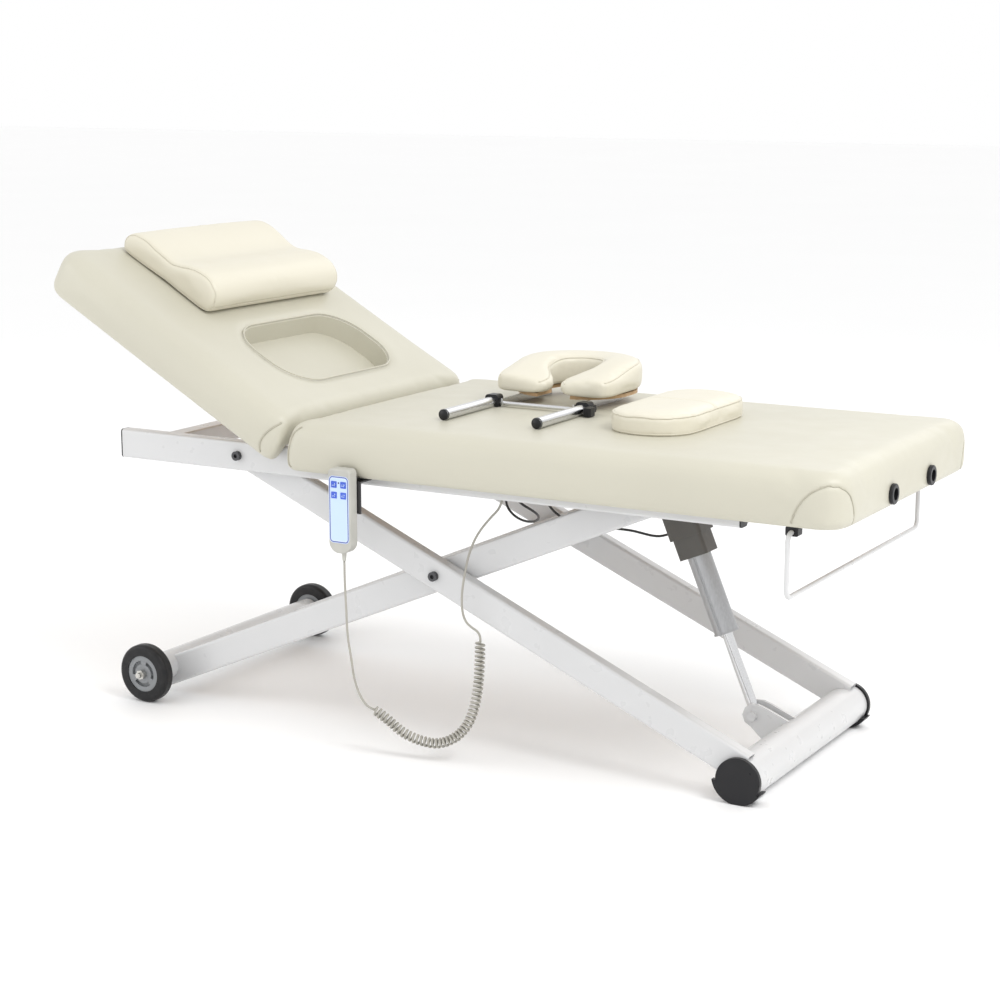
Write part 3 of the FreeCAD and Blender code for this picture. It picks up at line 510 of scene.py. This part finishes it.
def groove(o, pts, width, depth):
    """A sewn line: the cover is drawn in along pts."""
    kd = KDTree(len(pts))
    for i, p in enumerate(pts):
        kd.insert(p, i)
    kd.balance()
    co = coords(o)
    nor = np.zeros(len(o.data.vertices) * 3)
    o.data.vertices.foreach_get("normal", nor)
    nor = nor.reshape(-1, 3)
    lo, hi = pts.min(0) - 4 * width, pts.max(0) + 4 * width
    for i in np.nonzero(np.all((co > lo) & (co < hi), axis=1))[0]:
        d = kd.find(co[i])[2]
        if d < 3.5 * width:
            co[i] -= nor[i] * depth * math.exp(-(d / width) ** 2)
    set_coords(o, co)


def tube(name, pts, r, material, sides=10, closed=False):
    """Mesh tube along points, with a frame carried along them so that it doesn't twist."""
    pts = np.asarray(pts, float)
    n = len(pts)
    if closed:
        tan = np.roll(pts, -1, 0) - np.roll(pts, 1, 0)
    else:
        tan = np.gradient(pts, axis=0)
    tan /= np.linalg.norm(tan, axis=1)[:, None]
    a = np.array([0.0, 0.0, 1.0]) if abs(tan[0][2]) < 0.9 else np.array([1.0, 0.0, 0.0])
    u = np.cross(tan[0], a)
    u /= np.linalg.norm(u)
    verts, faces = [], []
    rr = np.broadcast_to(np.asarray(r, float), (n,))
    us = []
    for i in range(n):
        u = u - tan[i] * (u @ tan[i])
        u /= np.linalg.norm(u)
        us.append(u.copy())
    for i in range(n):
        w = np.cross(tan[i], us[i])
        for k in range(sides):
            f = 2 * math.pi * k / sides
            verts.append(pts[i] + rr[i] * (us[i] * math.cos(f) + w * math.sin(f)))
    m = n if closed else n - 1
    for i in range(m):
        j = (i + 1) % n
        for k in range(sides):
            q = (k + 1) % sides
            faces.append((i * sides + k, i * sides + q, j * sides + q, j * sides + k))
    if not closed:
        verts.append(pts[0])
        verts.append(pts[-1])
        for k in range(sides):
            q = (k + 1) % sides
            faces.append((len(verts) - 2, q, k))
            faces.append((len(verts) - 1, (n - 1) * sides + k, (n - 1) * sides + q))
    return obj_from(name, verts, faces, material)


def piping(name, o, pts, r, body, material=None, sink=0.35, step=0.004, closed=False, width=0.0042, depth=0.0016, rounds=3):
    """Welt sewn into a cover: the line is laid on the surface, the cover drawn in beside it."""
    a = soften(resample(pts, step), rounds, closed)
    tree = bvh_of(o)
    line, _ = on_surface(tree, a)
    groove(o, line, width, depth)
    line, nor = on_surface(bvh_of(o), a)
    line = soften(line + nor * r * (1 - 2 * sink) + nor * 0.0, 2, closed)
    t = tube(name, line, r, material or PIPING, 8, closed)
    if body:
        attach(t, body)
    return t


def arc(cx, cy, r, a0, a1, n):
    return [(cx + r * math.cos(math.radians(a0 + (a1 - a0) * i / n)), cy + r * math.sin(math.radians(a0 + (a1 - a0) * i / n))) for i in range(n + 1)]


# ---------------------------------------------------------------------- cords
def nurbs(name, pts):
    c = bpy.data.curves.new(name, "CURVE")
    c.dimensions, c.resolution_u = "3D", 14
    s = c.splines.new("NURBS")
    s.points.add(len(pts) - 1)
    for k, p in zip(s.points, pts):
        k.co = (*p, 1)
    s.order_u, s.use_endpoint_u = 3, True
    o = bpy.data.objects.new(name, c)
    scene.collection.objects.link(o)
    return o


def line_of(o):
    """Points along a curve object, which has no bevel."""
    me = bpy.data.meshes.new_from_object(o.evaluated_get(bpy.context.evaluated_depsgraph_get()))
    a = np.array([tuple(v.co) for v in me.vertices])
    bpy.data.meshes.remove(me)
    return a


LOWER = [(-144, -375, 385), (-144, -375, 340), (-141, -375, 285), (-139, -376, 235), (-131, -375, 190),
         (-125, -375, 148), (-113, -374.5, 117), (-96, -375, 97), (-79, -375, 93.5)]
COIL = [(-79.0, -375.0, 93.5), (-52.0, -369.0, 76.5), (-24.0, -362.5, 52.5), (11.0, -354.0, 38.5), (50.0, -347.0, 34.5),
        (86.0, -340.0, 51.0), (110.0, -333.0, 79.0), (121.0, -327.0, 113.0), (125.0, -319.0, 154.0), (123.0, -309.0, 199.0),
        (118.5, -300.5, 241.0)]
UPPER = [(118.5, -300.5, 241.0), (117.4, -298.4, 251.3), (110.5, -299.0, 260.0), (99.5, -299.8, 265.5), (88.5, -300.6, 273.0), (81.5, -301.3, 286.0),
         (78.3, -302.0, 306.0), (79.0, -302.0, 336.0), (84.5, -300.0, 372.0), (90.5, -294.0, 412.0), (101.5, -281.0, 448.0), (120.0, -263.0, 478.0),
         (137.0, -251.5, 498.0), (140.0, -250.0, 519.0)]
LIFT_CABLE = [(175.0, -146.0, 526.0), (175.6, -145.5, 506.0), (181.5, -139.8, 485.0), (194.0, -127.3, 465.5), (215.0, -106.3, 448.5), (246.5, -79.9, 439.8),
              (279.4, -54.2, 434.7), (306.7, -31.3, 429.7), (327.2, -14.05, 421.5), (344.0, -4.35, 416.7), (361.4, 0.0, 417.6), (378.0, 0.0, 424.6)]
BACK_CABLE = [(110, -160, 526), (110, -160, 508), (118, -142, 484), (128, -112, 466), (126, -82, 450), (112, -56, 436), (90, -34, 424),
              (62, -17, 418), (36, -6, 420), (16, -1.5, 430), (4, 0, 446), (4, 0, 466)]


def route_line(name, pts):
    o = nurbs(name, [P(*p) for p in pts])
    a = line_of(o)
    bpy.data.objects.remove(o)
    return a


low, mid, top_ = route_line("route_low", LOWER), route_line("route_coil", COIL), route_line("route_top", UPPER)
CORD_R = 0.0023
TURNS, HELIX_R, PER = 47, 0.0083, 16
fine = resample(mid, 0.0005)
s_ = np.r_[0, np.cumsum(np.linalg.norm(np.diff(fine, axis=0), axis=1))]
tan = np.gradient(fine, axis=0)
tan /= np.linalg.norm(tan, axis=1)[:, None]
u_ = np.array([0.0, -1.0, 0.0])
frames_u = []
for t_ in tan:
    u_ = u_ - t_ * (u_ @ t_)
    u_ /= np.linalg.norm(u_)
    frames_u.append(u_.copy())
frames_u = np.array(frames_u)
helix = []
total = TURNS * PER
START = 0.25
for i in range(total + 1):
    f = i / total
    s = f * s_[-1]
    k = min(len(fine) - 1, int(round(s / 0.0005)))
    r = HELIX_R * min(1.0, smoothstep(np.array(f), 0.0, 0.012) * 1.0, float(smoothstep(np.array(1 - f), 0.0, 0.012)))
    a = 2 * math.pi * (TURNS * f + START)
    w = np.cross(tan[k], frames_u[k])
    helix.append(fine[k] + r * (frames_u[k] * math.cos(a) + w * math.sin(a)))
helix = np.array(helix)
cord_points = [P(*p) for p in LOWER[:-1]] + [Vector(p) for p in helix[2:-2]] + [P(*p) for p in UPPER[1:]]
cord_curve = nurbs("handset_cord_route", cord_points)
cord_curve.data.resolution_u = 4
cord_line = line_of(cord_curve)
bpy.data.objects.remove(cord_curve)
keep = [0]
for i in range(1, len(cord_line)):
    if np.linalg.norm(cord_line[i] - cord_line[keep[-1]]) > 0.0009 or i == len(cord_line) - 1:
        keep.append(i)
cord_line = cord_line[keep]
handset_cord = tube("handset_cord", cord_line, CORD_R, CORD, 10)
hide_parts("handset_cord_lower", "handset_cord_coil", "handset_cord_upper")
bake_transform(handset_cord)

for name, pts, body, start, end, node in (
    ("lift_cable", LIFT_CABLE, "lift_motor", LIFT_CABLE[4], LIFT_CABLE[-1], ("lift_motor_cable", "lift_motor_cable_end")),
    ("back_cable", BACK_CABLE, "back_motor", BACK_CABLE[6], BACK_CABLE[-1], ("back_motor_cable",)),
):
    a = route_line(name + "_route", pts)
    o = tube(name, a, 0.0025, CABLE, 12)
    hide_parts(*node)
    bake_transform(o)


# ----------------------------------------------------------------- soft goods
def flat(x, y, z):
    return P(x, y, z)


def box_cutter(name, x0, x1, y0, y1, z0, z1, place):
    v = [place(x, y, z) for x in (x0, x1) for y in (y0, y1) for z in (z0, z1)]
    f = [(0, 1, 3, 2), (4, 6, 7, 5), (0, 4, 5, 1), (2, 3, 7, 6), (0, 2, 6, 4), (1, 5, 7, 3)]
    o = obj_from(name, v, f, CREAM, False)
    bm = bmesh.new()
    bm.from_mesh(o.data)
    bmesh.ops.recalc_face_normals(bm, faces=bm.faces)
    bm.to_mesh(o.data)
    bm.free()
    return o


SWELL = 3.5       # the sewn shape starts this much smaller than the stuffed one
VOX = 0.008

# ---- seat
x0, x1, hw, z0, z1 = -303.0 + SWELL, 873.0 - SWELL, 361.0 - SWELL, 542.5 + SWELL * 0.4, 644.5 - SWELL
balls = []
for sy in (-1, 1):
    for a in (0, 30, 60, 90):
        c, s = math.cos(math.radians(a)), math.sin(math.radians(a))
        balls.append((x1 - 52 + 18 * c, sy * (hw - 52 + 18 * s), z1 - 34, 34))
        balls.append((x1 - 52 + 40 * c, sy * (hw - 52 + 40 * s), z0 + 12, 12))
    balls.append((x0 + 34, sy * (hw - 33), z1 - 34, 33))
    balls.append((x0 + 13, sy * (hw - 13), z0 + 40, 13))
    balls.append((x0 + 13, sy * (hw - 13), z0 + 12, 12))
    balls.append((x0 + 60, sy * (hw - 34), z1 - 34, 34))
seat = hull("seat_cushion", balls, flat, CREAM)
cut(seat, box_cutter("pocket", x0 - 40, 818, -311, 311, 400, 587, flat))
remesh(seat, VOX, 5)


def seat_mask(co):
    inside = (np.abs(co[:, 1] - SY) < 0.316) & (co[:, 0] < 0.822 + SX) & (co[:, 2] < 0.596)
    low_ = smoothstep(co[:, 2], 0.545, 0.575)
    return np.where(inside, 0.0, 0.15 + 0.85 * low_)


puff(seat, 0.0055, seat_mask, 4.0, 16)
finish_soft(seat, 1)


def bore(name, y, z, r, x0_, x1_):
    n_ = 40
    ring_ = [(y + r * math.cos(2 * math.pi * k / n_), z + r * math.sin(2 * math.pi * k / n_)) for k in range(n_)]
    v_ = [P(x, a_, b_) for x in (x0_, x1_) for a_, b_ in ring_]
    f_ = [(k, (k + 1) % n_, n_ + (k + 1) % n_, n_ + k) for k in range(n_)] + [tuple(range(n_)), tuple(n_ + k for k in range(n_))]
    o_ = obj_from(name, v_, f_, CREAM, False)
    b_ = bmesh.new()
    b_.from_mesh(o_.data)
    bmesh.ops.recalc_face_normals(b_, faces=b_.faces)
    b_.to_mesh(o_.data)
    b_.free()
    return o_


cut(seat, bore("bore_left", -103.9, 572.4, 14.3, 780, 900), bore("bore_right", 103.9, 572.4, 14.3, 780, 900))
for p in seat.data.polygons:
    p.use_smooth = True
seat.data.set_sharp_from_angle(angle=math.radians(42))
co = coords(seat)
top_w = smoothstep(co[:, 2], 0.615, 0.640)
crown = (1 - ((co[:, 1] - SY) / 0.36) ** 2) * (1 - np.clip(np.abs((co[:, 0] - SX - 0.286) / 0.60), 0, 1) ** 4)
co[:, 2] += 0.0035 * top_w * np.clip(crown, 0, 1)
set_coords(seat, co)

# ---- backrest
THK = 101.0
u0, u1 = -37.0 + SWELL, 632.0 - SWELL
balls = []
for sy in (-1, 1):
    for a in (0, 30, 60, 90):
        c, s = math.cos(math.radians(a)), math.sin(math.radians(a))
        balls.append((u1 - 54 + 20 * c, sy * (hw - 54 + 20 * s), -34 - SWELL, 34))
        balls.append((u1 - 54 + 40 * c, sy * (hw - 54 + 40 * s), -THK + 14 + SWELL * 0.4, 14))
    balls.append((u0 + 36, sy * (hw - 33), -35 - SWELL, 33))
    balls.append((u0 + 14, sy * (hw - 14), -60, 14))
    balls.append((u0 + 18, sy * (hw - 16), -THK + 16 + SWELL * 0.4, 16))
back = hull("backrest_cushion", balls, B, CREAM)
HOLE_U, HOLE_V = 173.0, 12.0
balls = []
for su in (-1, 1):
    for sv in (-1, 1):
        balls.append((HOLE_U + su * 17, HOLE_V + sv * 112, 40, 83))
        balls.append((HOLE_U + su * 17, HOLE_V + sv * 112, -20, 79))
pts = []
for k, (w, r) in enumerate(((60, 96), (4, 86.0), (-3, 83.0), (-46, 80))):
    ring = []
    for cxx, cyy, a0 in ((17, 112, 0), (-17, 112, 90), (-17, -112, 180), (17, -112, 270)):
        for ax, ay in arc(cxx, cyy, r, a0, a0 + 90, 9):
            ring.append(B(HOLE_U + ax, HOLE_V + ay, w))
    pts.append(ring)
n = len(pts[0])
faces = []
for i in range(3):
    for k in range(n):
        q = (k + 1) % n
        faces.append((i * n + k, i * n + q, (i + 1) * n + q, (i + 1) * n + k))
faces.append(tuple(range(n)))
faces.append(tuple(3 * n + k for k in range(n)))
hole = obj_from("hole_cutter", [p for ring in pts for p in ring], faces, CREAM, False)
bm = bmesh.new()
bm.from_mesh(hole.data)
bmesh.ops.recalc_face_normals(bm, faces=bm.faces)
bm.to_mesh(hole.data)
bm.free()
cut(back, box_cutter("pocket", -200, 584, -317.5, 317.5, -260, -61.5, B))
remesh(back, VOX, 5)


def back_uvw(co):
    d = (co - np.array(P(-315, 0, 656))) * 1000
    return -d[:, 0] * math.cos(TH) + d[:, 2] * math.sin(TH), d[:, 1], d[:, 0] * math.sin(TH) + d[:, 2] * math.cos(TH)


def back_mask(co):
    u, v, w = back_uvw(co)
    inside = (np.abs(v) < 322) & (u < 590) & (w < -50)
    q = np.maximum(np.abs(u - HOLE_U) - 17, 0), np.maximum(np.abs(v - HOLE_V) - 112, 0)
    hole_d = np.hypot(*q) - 83
    near = smoothstep(hole_d, -2, 22)
    return np.where(inside, 0.0, (0.15 + 0.85 * smoothstep(w, -96, -70)) * (0.1 + 0.9 * near))


puff(back, 0.0055, back_mask, 4.0, 16)
finish_soft(back, 1)
cut(back, hole)
for p in back.data.polygons:
    p.use_smooth = True
back.data.set_sharp_from_angle(angle=math.radians(38))
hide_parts("seat_pad", "seat_board")
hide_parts("backrest_pad", "backrest_board")

rim = []
for cxx, cyy, a0 in ((17, 112, 0), (-17, 112, 90), (-17, -112, 180), (17, -112, 270)):
    rim += [B(HOLE_U + ax, HOLE_V + ay, 0.8) for ax, ay in arc(cxx, cyy, 86.5, a0, a0 + 90, 14)]
hole_rim = tube("hole_rim_welt", soften(resample(rim + rim[:1], 0.004)[:-1], 2, True), 0.0016, CREAM, 8, True)
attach(hole_rim, "backrest")

# boards under the foam, seen from below
for name, body, place, bx in (("seat_underboard", "root", flat, (-274, 817, -310, 310, 583.9, 588.0)),
                              ("backrest_underboard", "backrest", B, (-20, 582, -316.5, 316.5, -63.0, -60.5))):
    a, b, c, d, e, f = bx
    o = box_cutter(name, a, b, c, d, e, f, place)
    o.data.materials[0] = PLY
    m = o.modifiers.new("edge", "BEVEL")
    m.width, m.segments = 0.0012, 2
    bake(o)
    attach(o, body)

# foot corner gussets: a curved seam from the lower edge over the corner and down the end
for sy, nm in ((-1, "left"), (1, "right")):
    line = [(774.5, 552), (776.5, 560), (781.6, 576.4), (791.3, 593.3), (803, 606.7), (817, 618), (829, 624.5)]
    pts = [P(x, sy * 361, z) for x, z in line]
    pts += [P(846, sy * 352, 629), P(859, sy * 338, 626), P(868, sy * 322, 616.0), P(872, sy * 308.0, 600.0), P(873, sy * 299, 583.1),
            P(873, sy * 294, 566.2), P(873, sy * 294.5, 553.6), P(872, sy * 297, 546)]
    piping("seat_gusset_seam_" + nm, seat, pts, 0.0013, "root", sink=0.5, width=0.0036, depth=0.0022, rounds=6)
    # welt at the head end, along the side's edge
    pts = [P(-262, sy * 350, 641), P(-276, sy * 356, 634), P(-286, sy * 359, 622), P(-291, sy * 360, 605), P(-292, sy * 361, 580), P(-291, sy * 361, 556), P(-288, sy * 361, 546)]
    piping("seat_head_welt_" + nm, seat, pts, 0.0016, "root", sink=0.4, width=0.0036, depth=0.0014, rounds=4)

# backrest's lower end: the welt round the rolled end panel
for sy, nm in ((-1, "left"), (1, "right")):
    pts = [B(-2, sy * 361, -92), B(3, sy * 361, -84), B(6, sy * 361, -70), B(5, sy * 361, -54), B(-1, sy * 360, -36), B(-9, sy * 355, -20), B(-16, sy * 345, -11)]
    w_ = piping("backrest_end_welt_" + nm, back, pts, 0.0017, None, sink=0.4, width=0.0036, depth=0.0016, rounds=4)
    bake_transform(w_)

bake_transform(back)
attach(seat, "root")

# ---- pillow
SW = 2.0
PROF = [(338, 1.5), (324, 8), (318, 25), (323, 50), (334, 62), (352, 71), (370, 74), (392, 72), (418, 65), (440, 55),
        (460, 50), (485, 50), (515, 54), (545, 56), (572, 53), (590, 43), (597, 29), (594, 12), (584, 1.5)]
pc = np.array(PROF, float)
mid_p = pc.mean(0)
dense = resample([(a, b, 0) for a, b in PROF + PROF[:1]], 6)[:-1, :2]
dense = soften(np.c_[dense, np.zeros(len(dense))], 3, True)[:, :2]
ya, yb = -201.0 + SW, 263.0 - SW
verts, faces = [], []
stations = [ya, ya + 3, ya + 9] + list(np.linspace(ya + 30, yb - 30, 12)) + [yb - 9, yb - 3, yb]
inset = [9.0, 3.0, 0.4] + [0.0] * 12 + [0.4, 3.0, 9.0]
ctr = np.array([455.0, 32.0])
for y, k in zip(stations, inset):
    for p in dense:
        d = p - ctr
        nrm = d / np.linalg.norm(d)
        q = p - nrm * (k + SW)
        q[1] = max(q[1], 1.2)
        verts.append(B(q[0], y, q[1]))
n = len(dense)
for i in range(len(stations) - 1):
    for k in range(n):
        q = (k + 1) % n
        faces.append((i * n + k, i * n + q, (i + 1) * n + q, (i + 1) * n + k))
faces.append(tuple(range(n)))
faces.append(tuple((len(stations) - 1) * n + k for k in range(n)))
pillow = obj_from("neck_pillow", verts, faces, CREAM_LIGHT)
bm = bmesh.new()
bm.from_mesh(pillow.data)
bmesh.ops.recalc_face_normals(bm, faces=bm.faces)
bm.to_mesh(pillow.data)
bm.free()
remesh(pillow, 0.006, 4)


def lift_mask(place_w):
    return lambda co: smoothstep(place_w(co), 4, 14)


puff(pillow, 0.004, lambda co: smoothstep(back_uvw(co)[2], 3, 16), 4.0, 14)
finish_soft(pillow, 1)
for y, nm in ((-196.5, "left"), (258.5, "right")):
    ring = [B(p[0] - 0.6 * np.sign(p[0] - 455), y, max(p[1], 4.0)) for p in dense]
    k0 = int(np.argmin([abs(p[0] - 455) + p[1] * 4 for p in dense]))
    ring = ring[k0:] + ring[:k0]
    piping("pillow_piping_" + nm, pillow, ring + ring[:1], 0.0013, "pillow", PIPING_LIGHT, sink=0.30, width=0.0035, depth=0.0015)
pts = [B(319.0, y, 15.5) for y in np.linspace(-196, 258, 60)]
piping("pillow_front_seam", pillow, pts, 0.0010, "pillow", PIPING_LIGHT, sink=0.5, width=0.0035, depth=0.0016)
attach(pillow, "pillow")
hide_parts("pillow")

# ---- face hole plug
balls = []
px0, px1, py0, py1 = 303 + SW, 482 - SW, -184 + SW, 176 - SW
for cx_, sx in ((px0 + 78, -1), (px1 - 78, 1)):
    for cy_, sy in ((py0 + 78, -1), (py1 - 78, 1)):
        for a in (0, 22, 45, 68, 90):
            c, s = math.cos(math.radians(a)), math.sin(math.radians(a))
            balls.append((cx_ + sx * 72 * c, cy_ + sy * 72 * s, 653.5, 6))
            balls.append((cx_ + sx * 73 * c, cy_ + sy * 73 * s, 685 - SW, 5))
            balls.append((cx_ + sx * 40 * c, cy_ + sy * 40 * s, 688.5 - SW, 5))
plug = hull("plug_cushion", balls, flat, CREAM_LIGHT)
remesh(plug, 0.005, 3)
puff(plug, 0.004, lambda co: smoothstep(co[:, 2], 0.650, 0.658), 4.0, 14)
finish_soft(plug, 1)


def rr_ring(x0_, x1_, y0_, y1_, r, z):
    out = []
    for cx_, cy_, a0 in ((x1_ - r, y1_ - r, 0), (x0_ + r, y1_ - r, 90), (x0_ + r, y0_ + r, 180), (x1_ - r, y0_ + r, 270)):
        out += [P(x, y, z) for x, y in arc(cx_, cy_, r, a0, a0 + 90, 12)]
    return out


ring = rr_ring(304.5, 480.5, -182.5, 174.5, 76, 687.0)
piping("plug_top_piping", plug, ring + ring[:1], 0.0017, "face_hole_plug", PIPING_LIGHT, sink=0.3, closed=False, width=0.0036, depth=0.0012)
ring = rr_ring(303.5, 481.5, -183.5, 175.5, 77, 650.5)
piping("plug_base_piping", plug, ring + ring[:1], 0.0012, "face_hole_plug", PIPING_LIGHT, sink=0.5, closed=False, width=0.0036, depth=0.0010)
pts = [P(x, -4, 692) for x in np.linspace(306, 479, 40)]
piping("plug_centre_seam", plug, pts, 0.0011, "face_hole_plug", PIPING_LIGHT, sink=0.5, width=0.004, depth=0.0022)
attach(plug, "face_hole_plug")
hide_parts("face_hole_plug")

# ---- head cradle cushion: a crescent open towards the rods
CU = (93.0, 145.0)
NS, rows_ = 72, 30


def crescent(s):
    """Station along the pad from the left lobe's tip (0) round the back to the right one's (1):
    centre, outward direction, half widths outside and inside, height."""
    m = min(s, 1 - s)
    side = -1.0 if s < 0.5 else 1.0
    if m < 0.26:
        k = m / 0.26
        x, y, nx, ny = CU[0] + side * 80, 22 + k * 125, side, 0.0
    else:
        a = math.pi * (1 - (s - 0.26) / 0.48)
        nx, ny = math.cos(a), math.sin(a)
        x, y = CU[0] + 80 * nx, 147 + 84 * ny
    back_ = float(smoothstep(np.array(m), 0.26, 0.46))
    tip = math.sqrt(max(0.0, 1 - (1 - min(1.0, m / 0.085)) ** 2))
    tip = 0.62 + 0.38 * tip
    wo = (57.0 - 19.0 * back_) * tip
    wi = (69.0 - 36.0 * float(smoothstep(np.array(m), 0.05, 0.22)) + 3.0 * back_) * tip
    h = 36.0 + 29.5 * float(smoothstep(np.array(m), -0.06, 0.34))
    return x, y, nx, ny, wo, wi, h, m


def crescent_point(s, a, rise=0.0):
    x, y, nx, ny, wo, wi, h, m = crescent(s)
    c, q = math.cos(a), math.sin(a)
    px, pz = math.copysign(abs(c) ** 0.40, c), math.copysign(abs(q) ** 0.46, q)
    off = px * (wo if px > 0 else wi)
    zz = (pz + 1) / 2 * (h - SW)
    if pz > 0:
        zz -= pz * max(0.0, -px) * (4.0 + 9.0 * (1 - float(smoothstep(np.array(m), 0.0, 0.35))))
    return P(x + nx * off, y + ny * off, 676.0 + zz + rise)


verts, faces = [], []
for i in range(NS + 1):
    for k in range(rows_):
        verts.append(crescent_point(i / NS, 2 * math.pi * k / rows_))
for i in range(NS):
    for k in range(rows_):
        q = (k + 1) % rows_
        faces.append((i * rows_ + k, i * rows_ + q, (i + 1) * rows_ + q, (i + 1) * rows_ + k))
faces.append(tuple(range(rows_)))
faces.append(tuple(NS * rows_ + k for k in range(rows_)))
crad = obj_from("cradle_pad", verts, faces, CREAM_LIGHT)
bm = bmesh.new()
bm.from_mesh(crad.data)
bmesh.ops.recalc_face_normals(bm, faces=bm.faces)
bm.to_mesh(crad.data)
bm.free()
remesh(crad, 0.005, 4)
puff(crad, 0.0035, lambda co: smoothstep(co[:, 2], 0.678, 0.690), 4.0, 14)
finish_soft(crad, 1)
for a0, nm in ((math.radians(42), "outer"), (math.radians(138), "inner")):
    pts = [crescent_point(i / NS, a0, 1.0) for i in range(1, NS)]
    piping("cradle_piping_" + nm, crad, pts, 0.0014, "cradle_head", PIPING_LIGHT, sink=0.35, width=0.0034, depth=0.0012, rounds=8)
for x, nm in ((-15.9, "left"), (191.9, "right")):
    o = tube("cradle_rod_plug_" + nm, [P(x, -212.7, 660), P(x, -211.4, 660), P(x, -207.4, 660)], [0.0104, 0.01125, 0.01125], BLACK, 36)
    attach(o, "cradle")
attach(crad, "cradle_head")
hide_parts("cradle_cushion")


# ------------------------------------------------- small marks on the buttons
def icon(name, body, cx, cz, shapes):
    """Thin raised marks on a key: each shape is a polygon in X and Z, millimetres from the key's centre."""
    verts, faces = [], []
    for poly in shapes:
        n0, n = len(verts), len(poly)
        for y in (-388.65, -388.35):
            for x, z in poly:
                verts.append(P(cx + x, y, cz + z))
        faces.append(tuple(n0 + k for k in range(n)))
        faces.append(tuple(n0 + n + k for k in reversed(range(n))))
        for k in range(n):
            q = (k + 1) % n
            faces.append((n0 + q, n0 + k, n0 + n + k, n0 + n + q))
    o = obj_from(name, verts, faces, ICON, False)
    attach(o, body)


def bar(x, z, w, h):
    return [(x - w / 2, z - h / 2), (x + w / 2, z - h / 2), (x + w / 2, z + h / 2), (x - w / 2, z + h / 2)]


def arrow(x, z, s):
    return [(x - 1.5, z - s * 0.9), (x + 1.5, z - s * 0.9), (x, z + s * 1.1)] if s > 0 else [(x - 1.5, z - s * 0.9), (x, z + s * 1.1), (x + 1.5, z - s * 0.9)]


for nm, bx, bz, sgn, back_icon in (("raise_bed", -10.8, 537.5, 1, False), ("raise_back", 10.8, 537.5, 1, True),
                                   ("lower_bed", -10.8, 516.5, -1, False), ("lower_back", 10.8, 516.5, -1, True)):
    shapes = [bar(-0.4, -1.6, 6.4, 0.9), bar(-2.6, -2.7, 0.8, 1.6), bar(1.8, -2.7, 0.8, 1.6)]
    if back_icon:
        shapes.append([(-3.6, -1.1), (-2.9, -1.1), (-1.2, 2.2), (-1.9, 2.5)])
    shapes.append(arrow(2.4, 1.4, sgn * 1.6))
    icon("icon_" + nm, "button_" + nm, -146.5 + bx, bz, shapes)

# ------------------------------------------------------------- floor and light
bpy.ops.mesh.primitive_plane_add(size=60, location=(0, 0, -0.0002))
floor = bpy.context.object
floor.name = "floor"
fm = Mat("floor_paper")
fm.set(Base_Color=fm.mix(fm.maprange(fm.noise(0.8, 2.0), 0.3, 0.7, 0.0, 1.0), (0.98, 0.98, 0.98), (0.972, 0.972, 0.972)), Roughness=0.55)
floor.data.materials.append(fm.m)

world = bpy.data.worlds.new("studio")
scene.world = world
world.use_nodes = True
bg = world.node_tree.nodes["Background"]
bg.inputs["Color"].default_value = (1, 1, 1, 1)
bg.inputs["Strength"].default_value = 1.0


def area(name, loc, target, size, power, color=(1, 1, 1)):
    d = bpy.data.lights.new(name, "AREA")
    d.shape, d.size, d.energy, d.color = "DISK", size, power, color
    o = bpy.data.objects.new(name, d)
    scene.collection.objects.link(o)
    o.location = loc
    o.rotation_euler = (Vector(target) - Vector(loc)).to_track_quat("-Z", "Y").to_euler()
    return o


area("key", (3.0, -0.9, 3.6), (0.3, 0, 0.6), 2.2, 84)
area("fill", (-3.2, -2.6, 1.8), (-0.3, 0, 0.5), 2.6, 26)
area("back", (0.5, 4.0, 3.2), (0, 0, 0.5), 3.2, 20)

scene.view_settings.view_transform = "Standard"
scene.view_settings.look = "None"
scene.view_settings.exposure = 0.0
scene.view_settings.gamma = 1.0
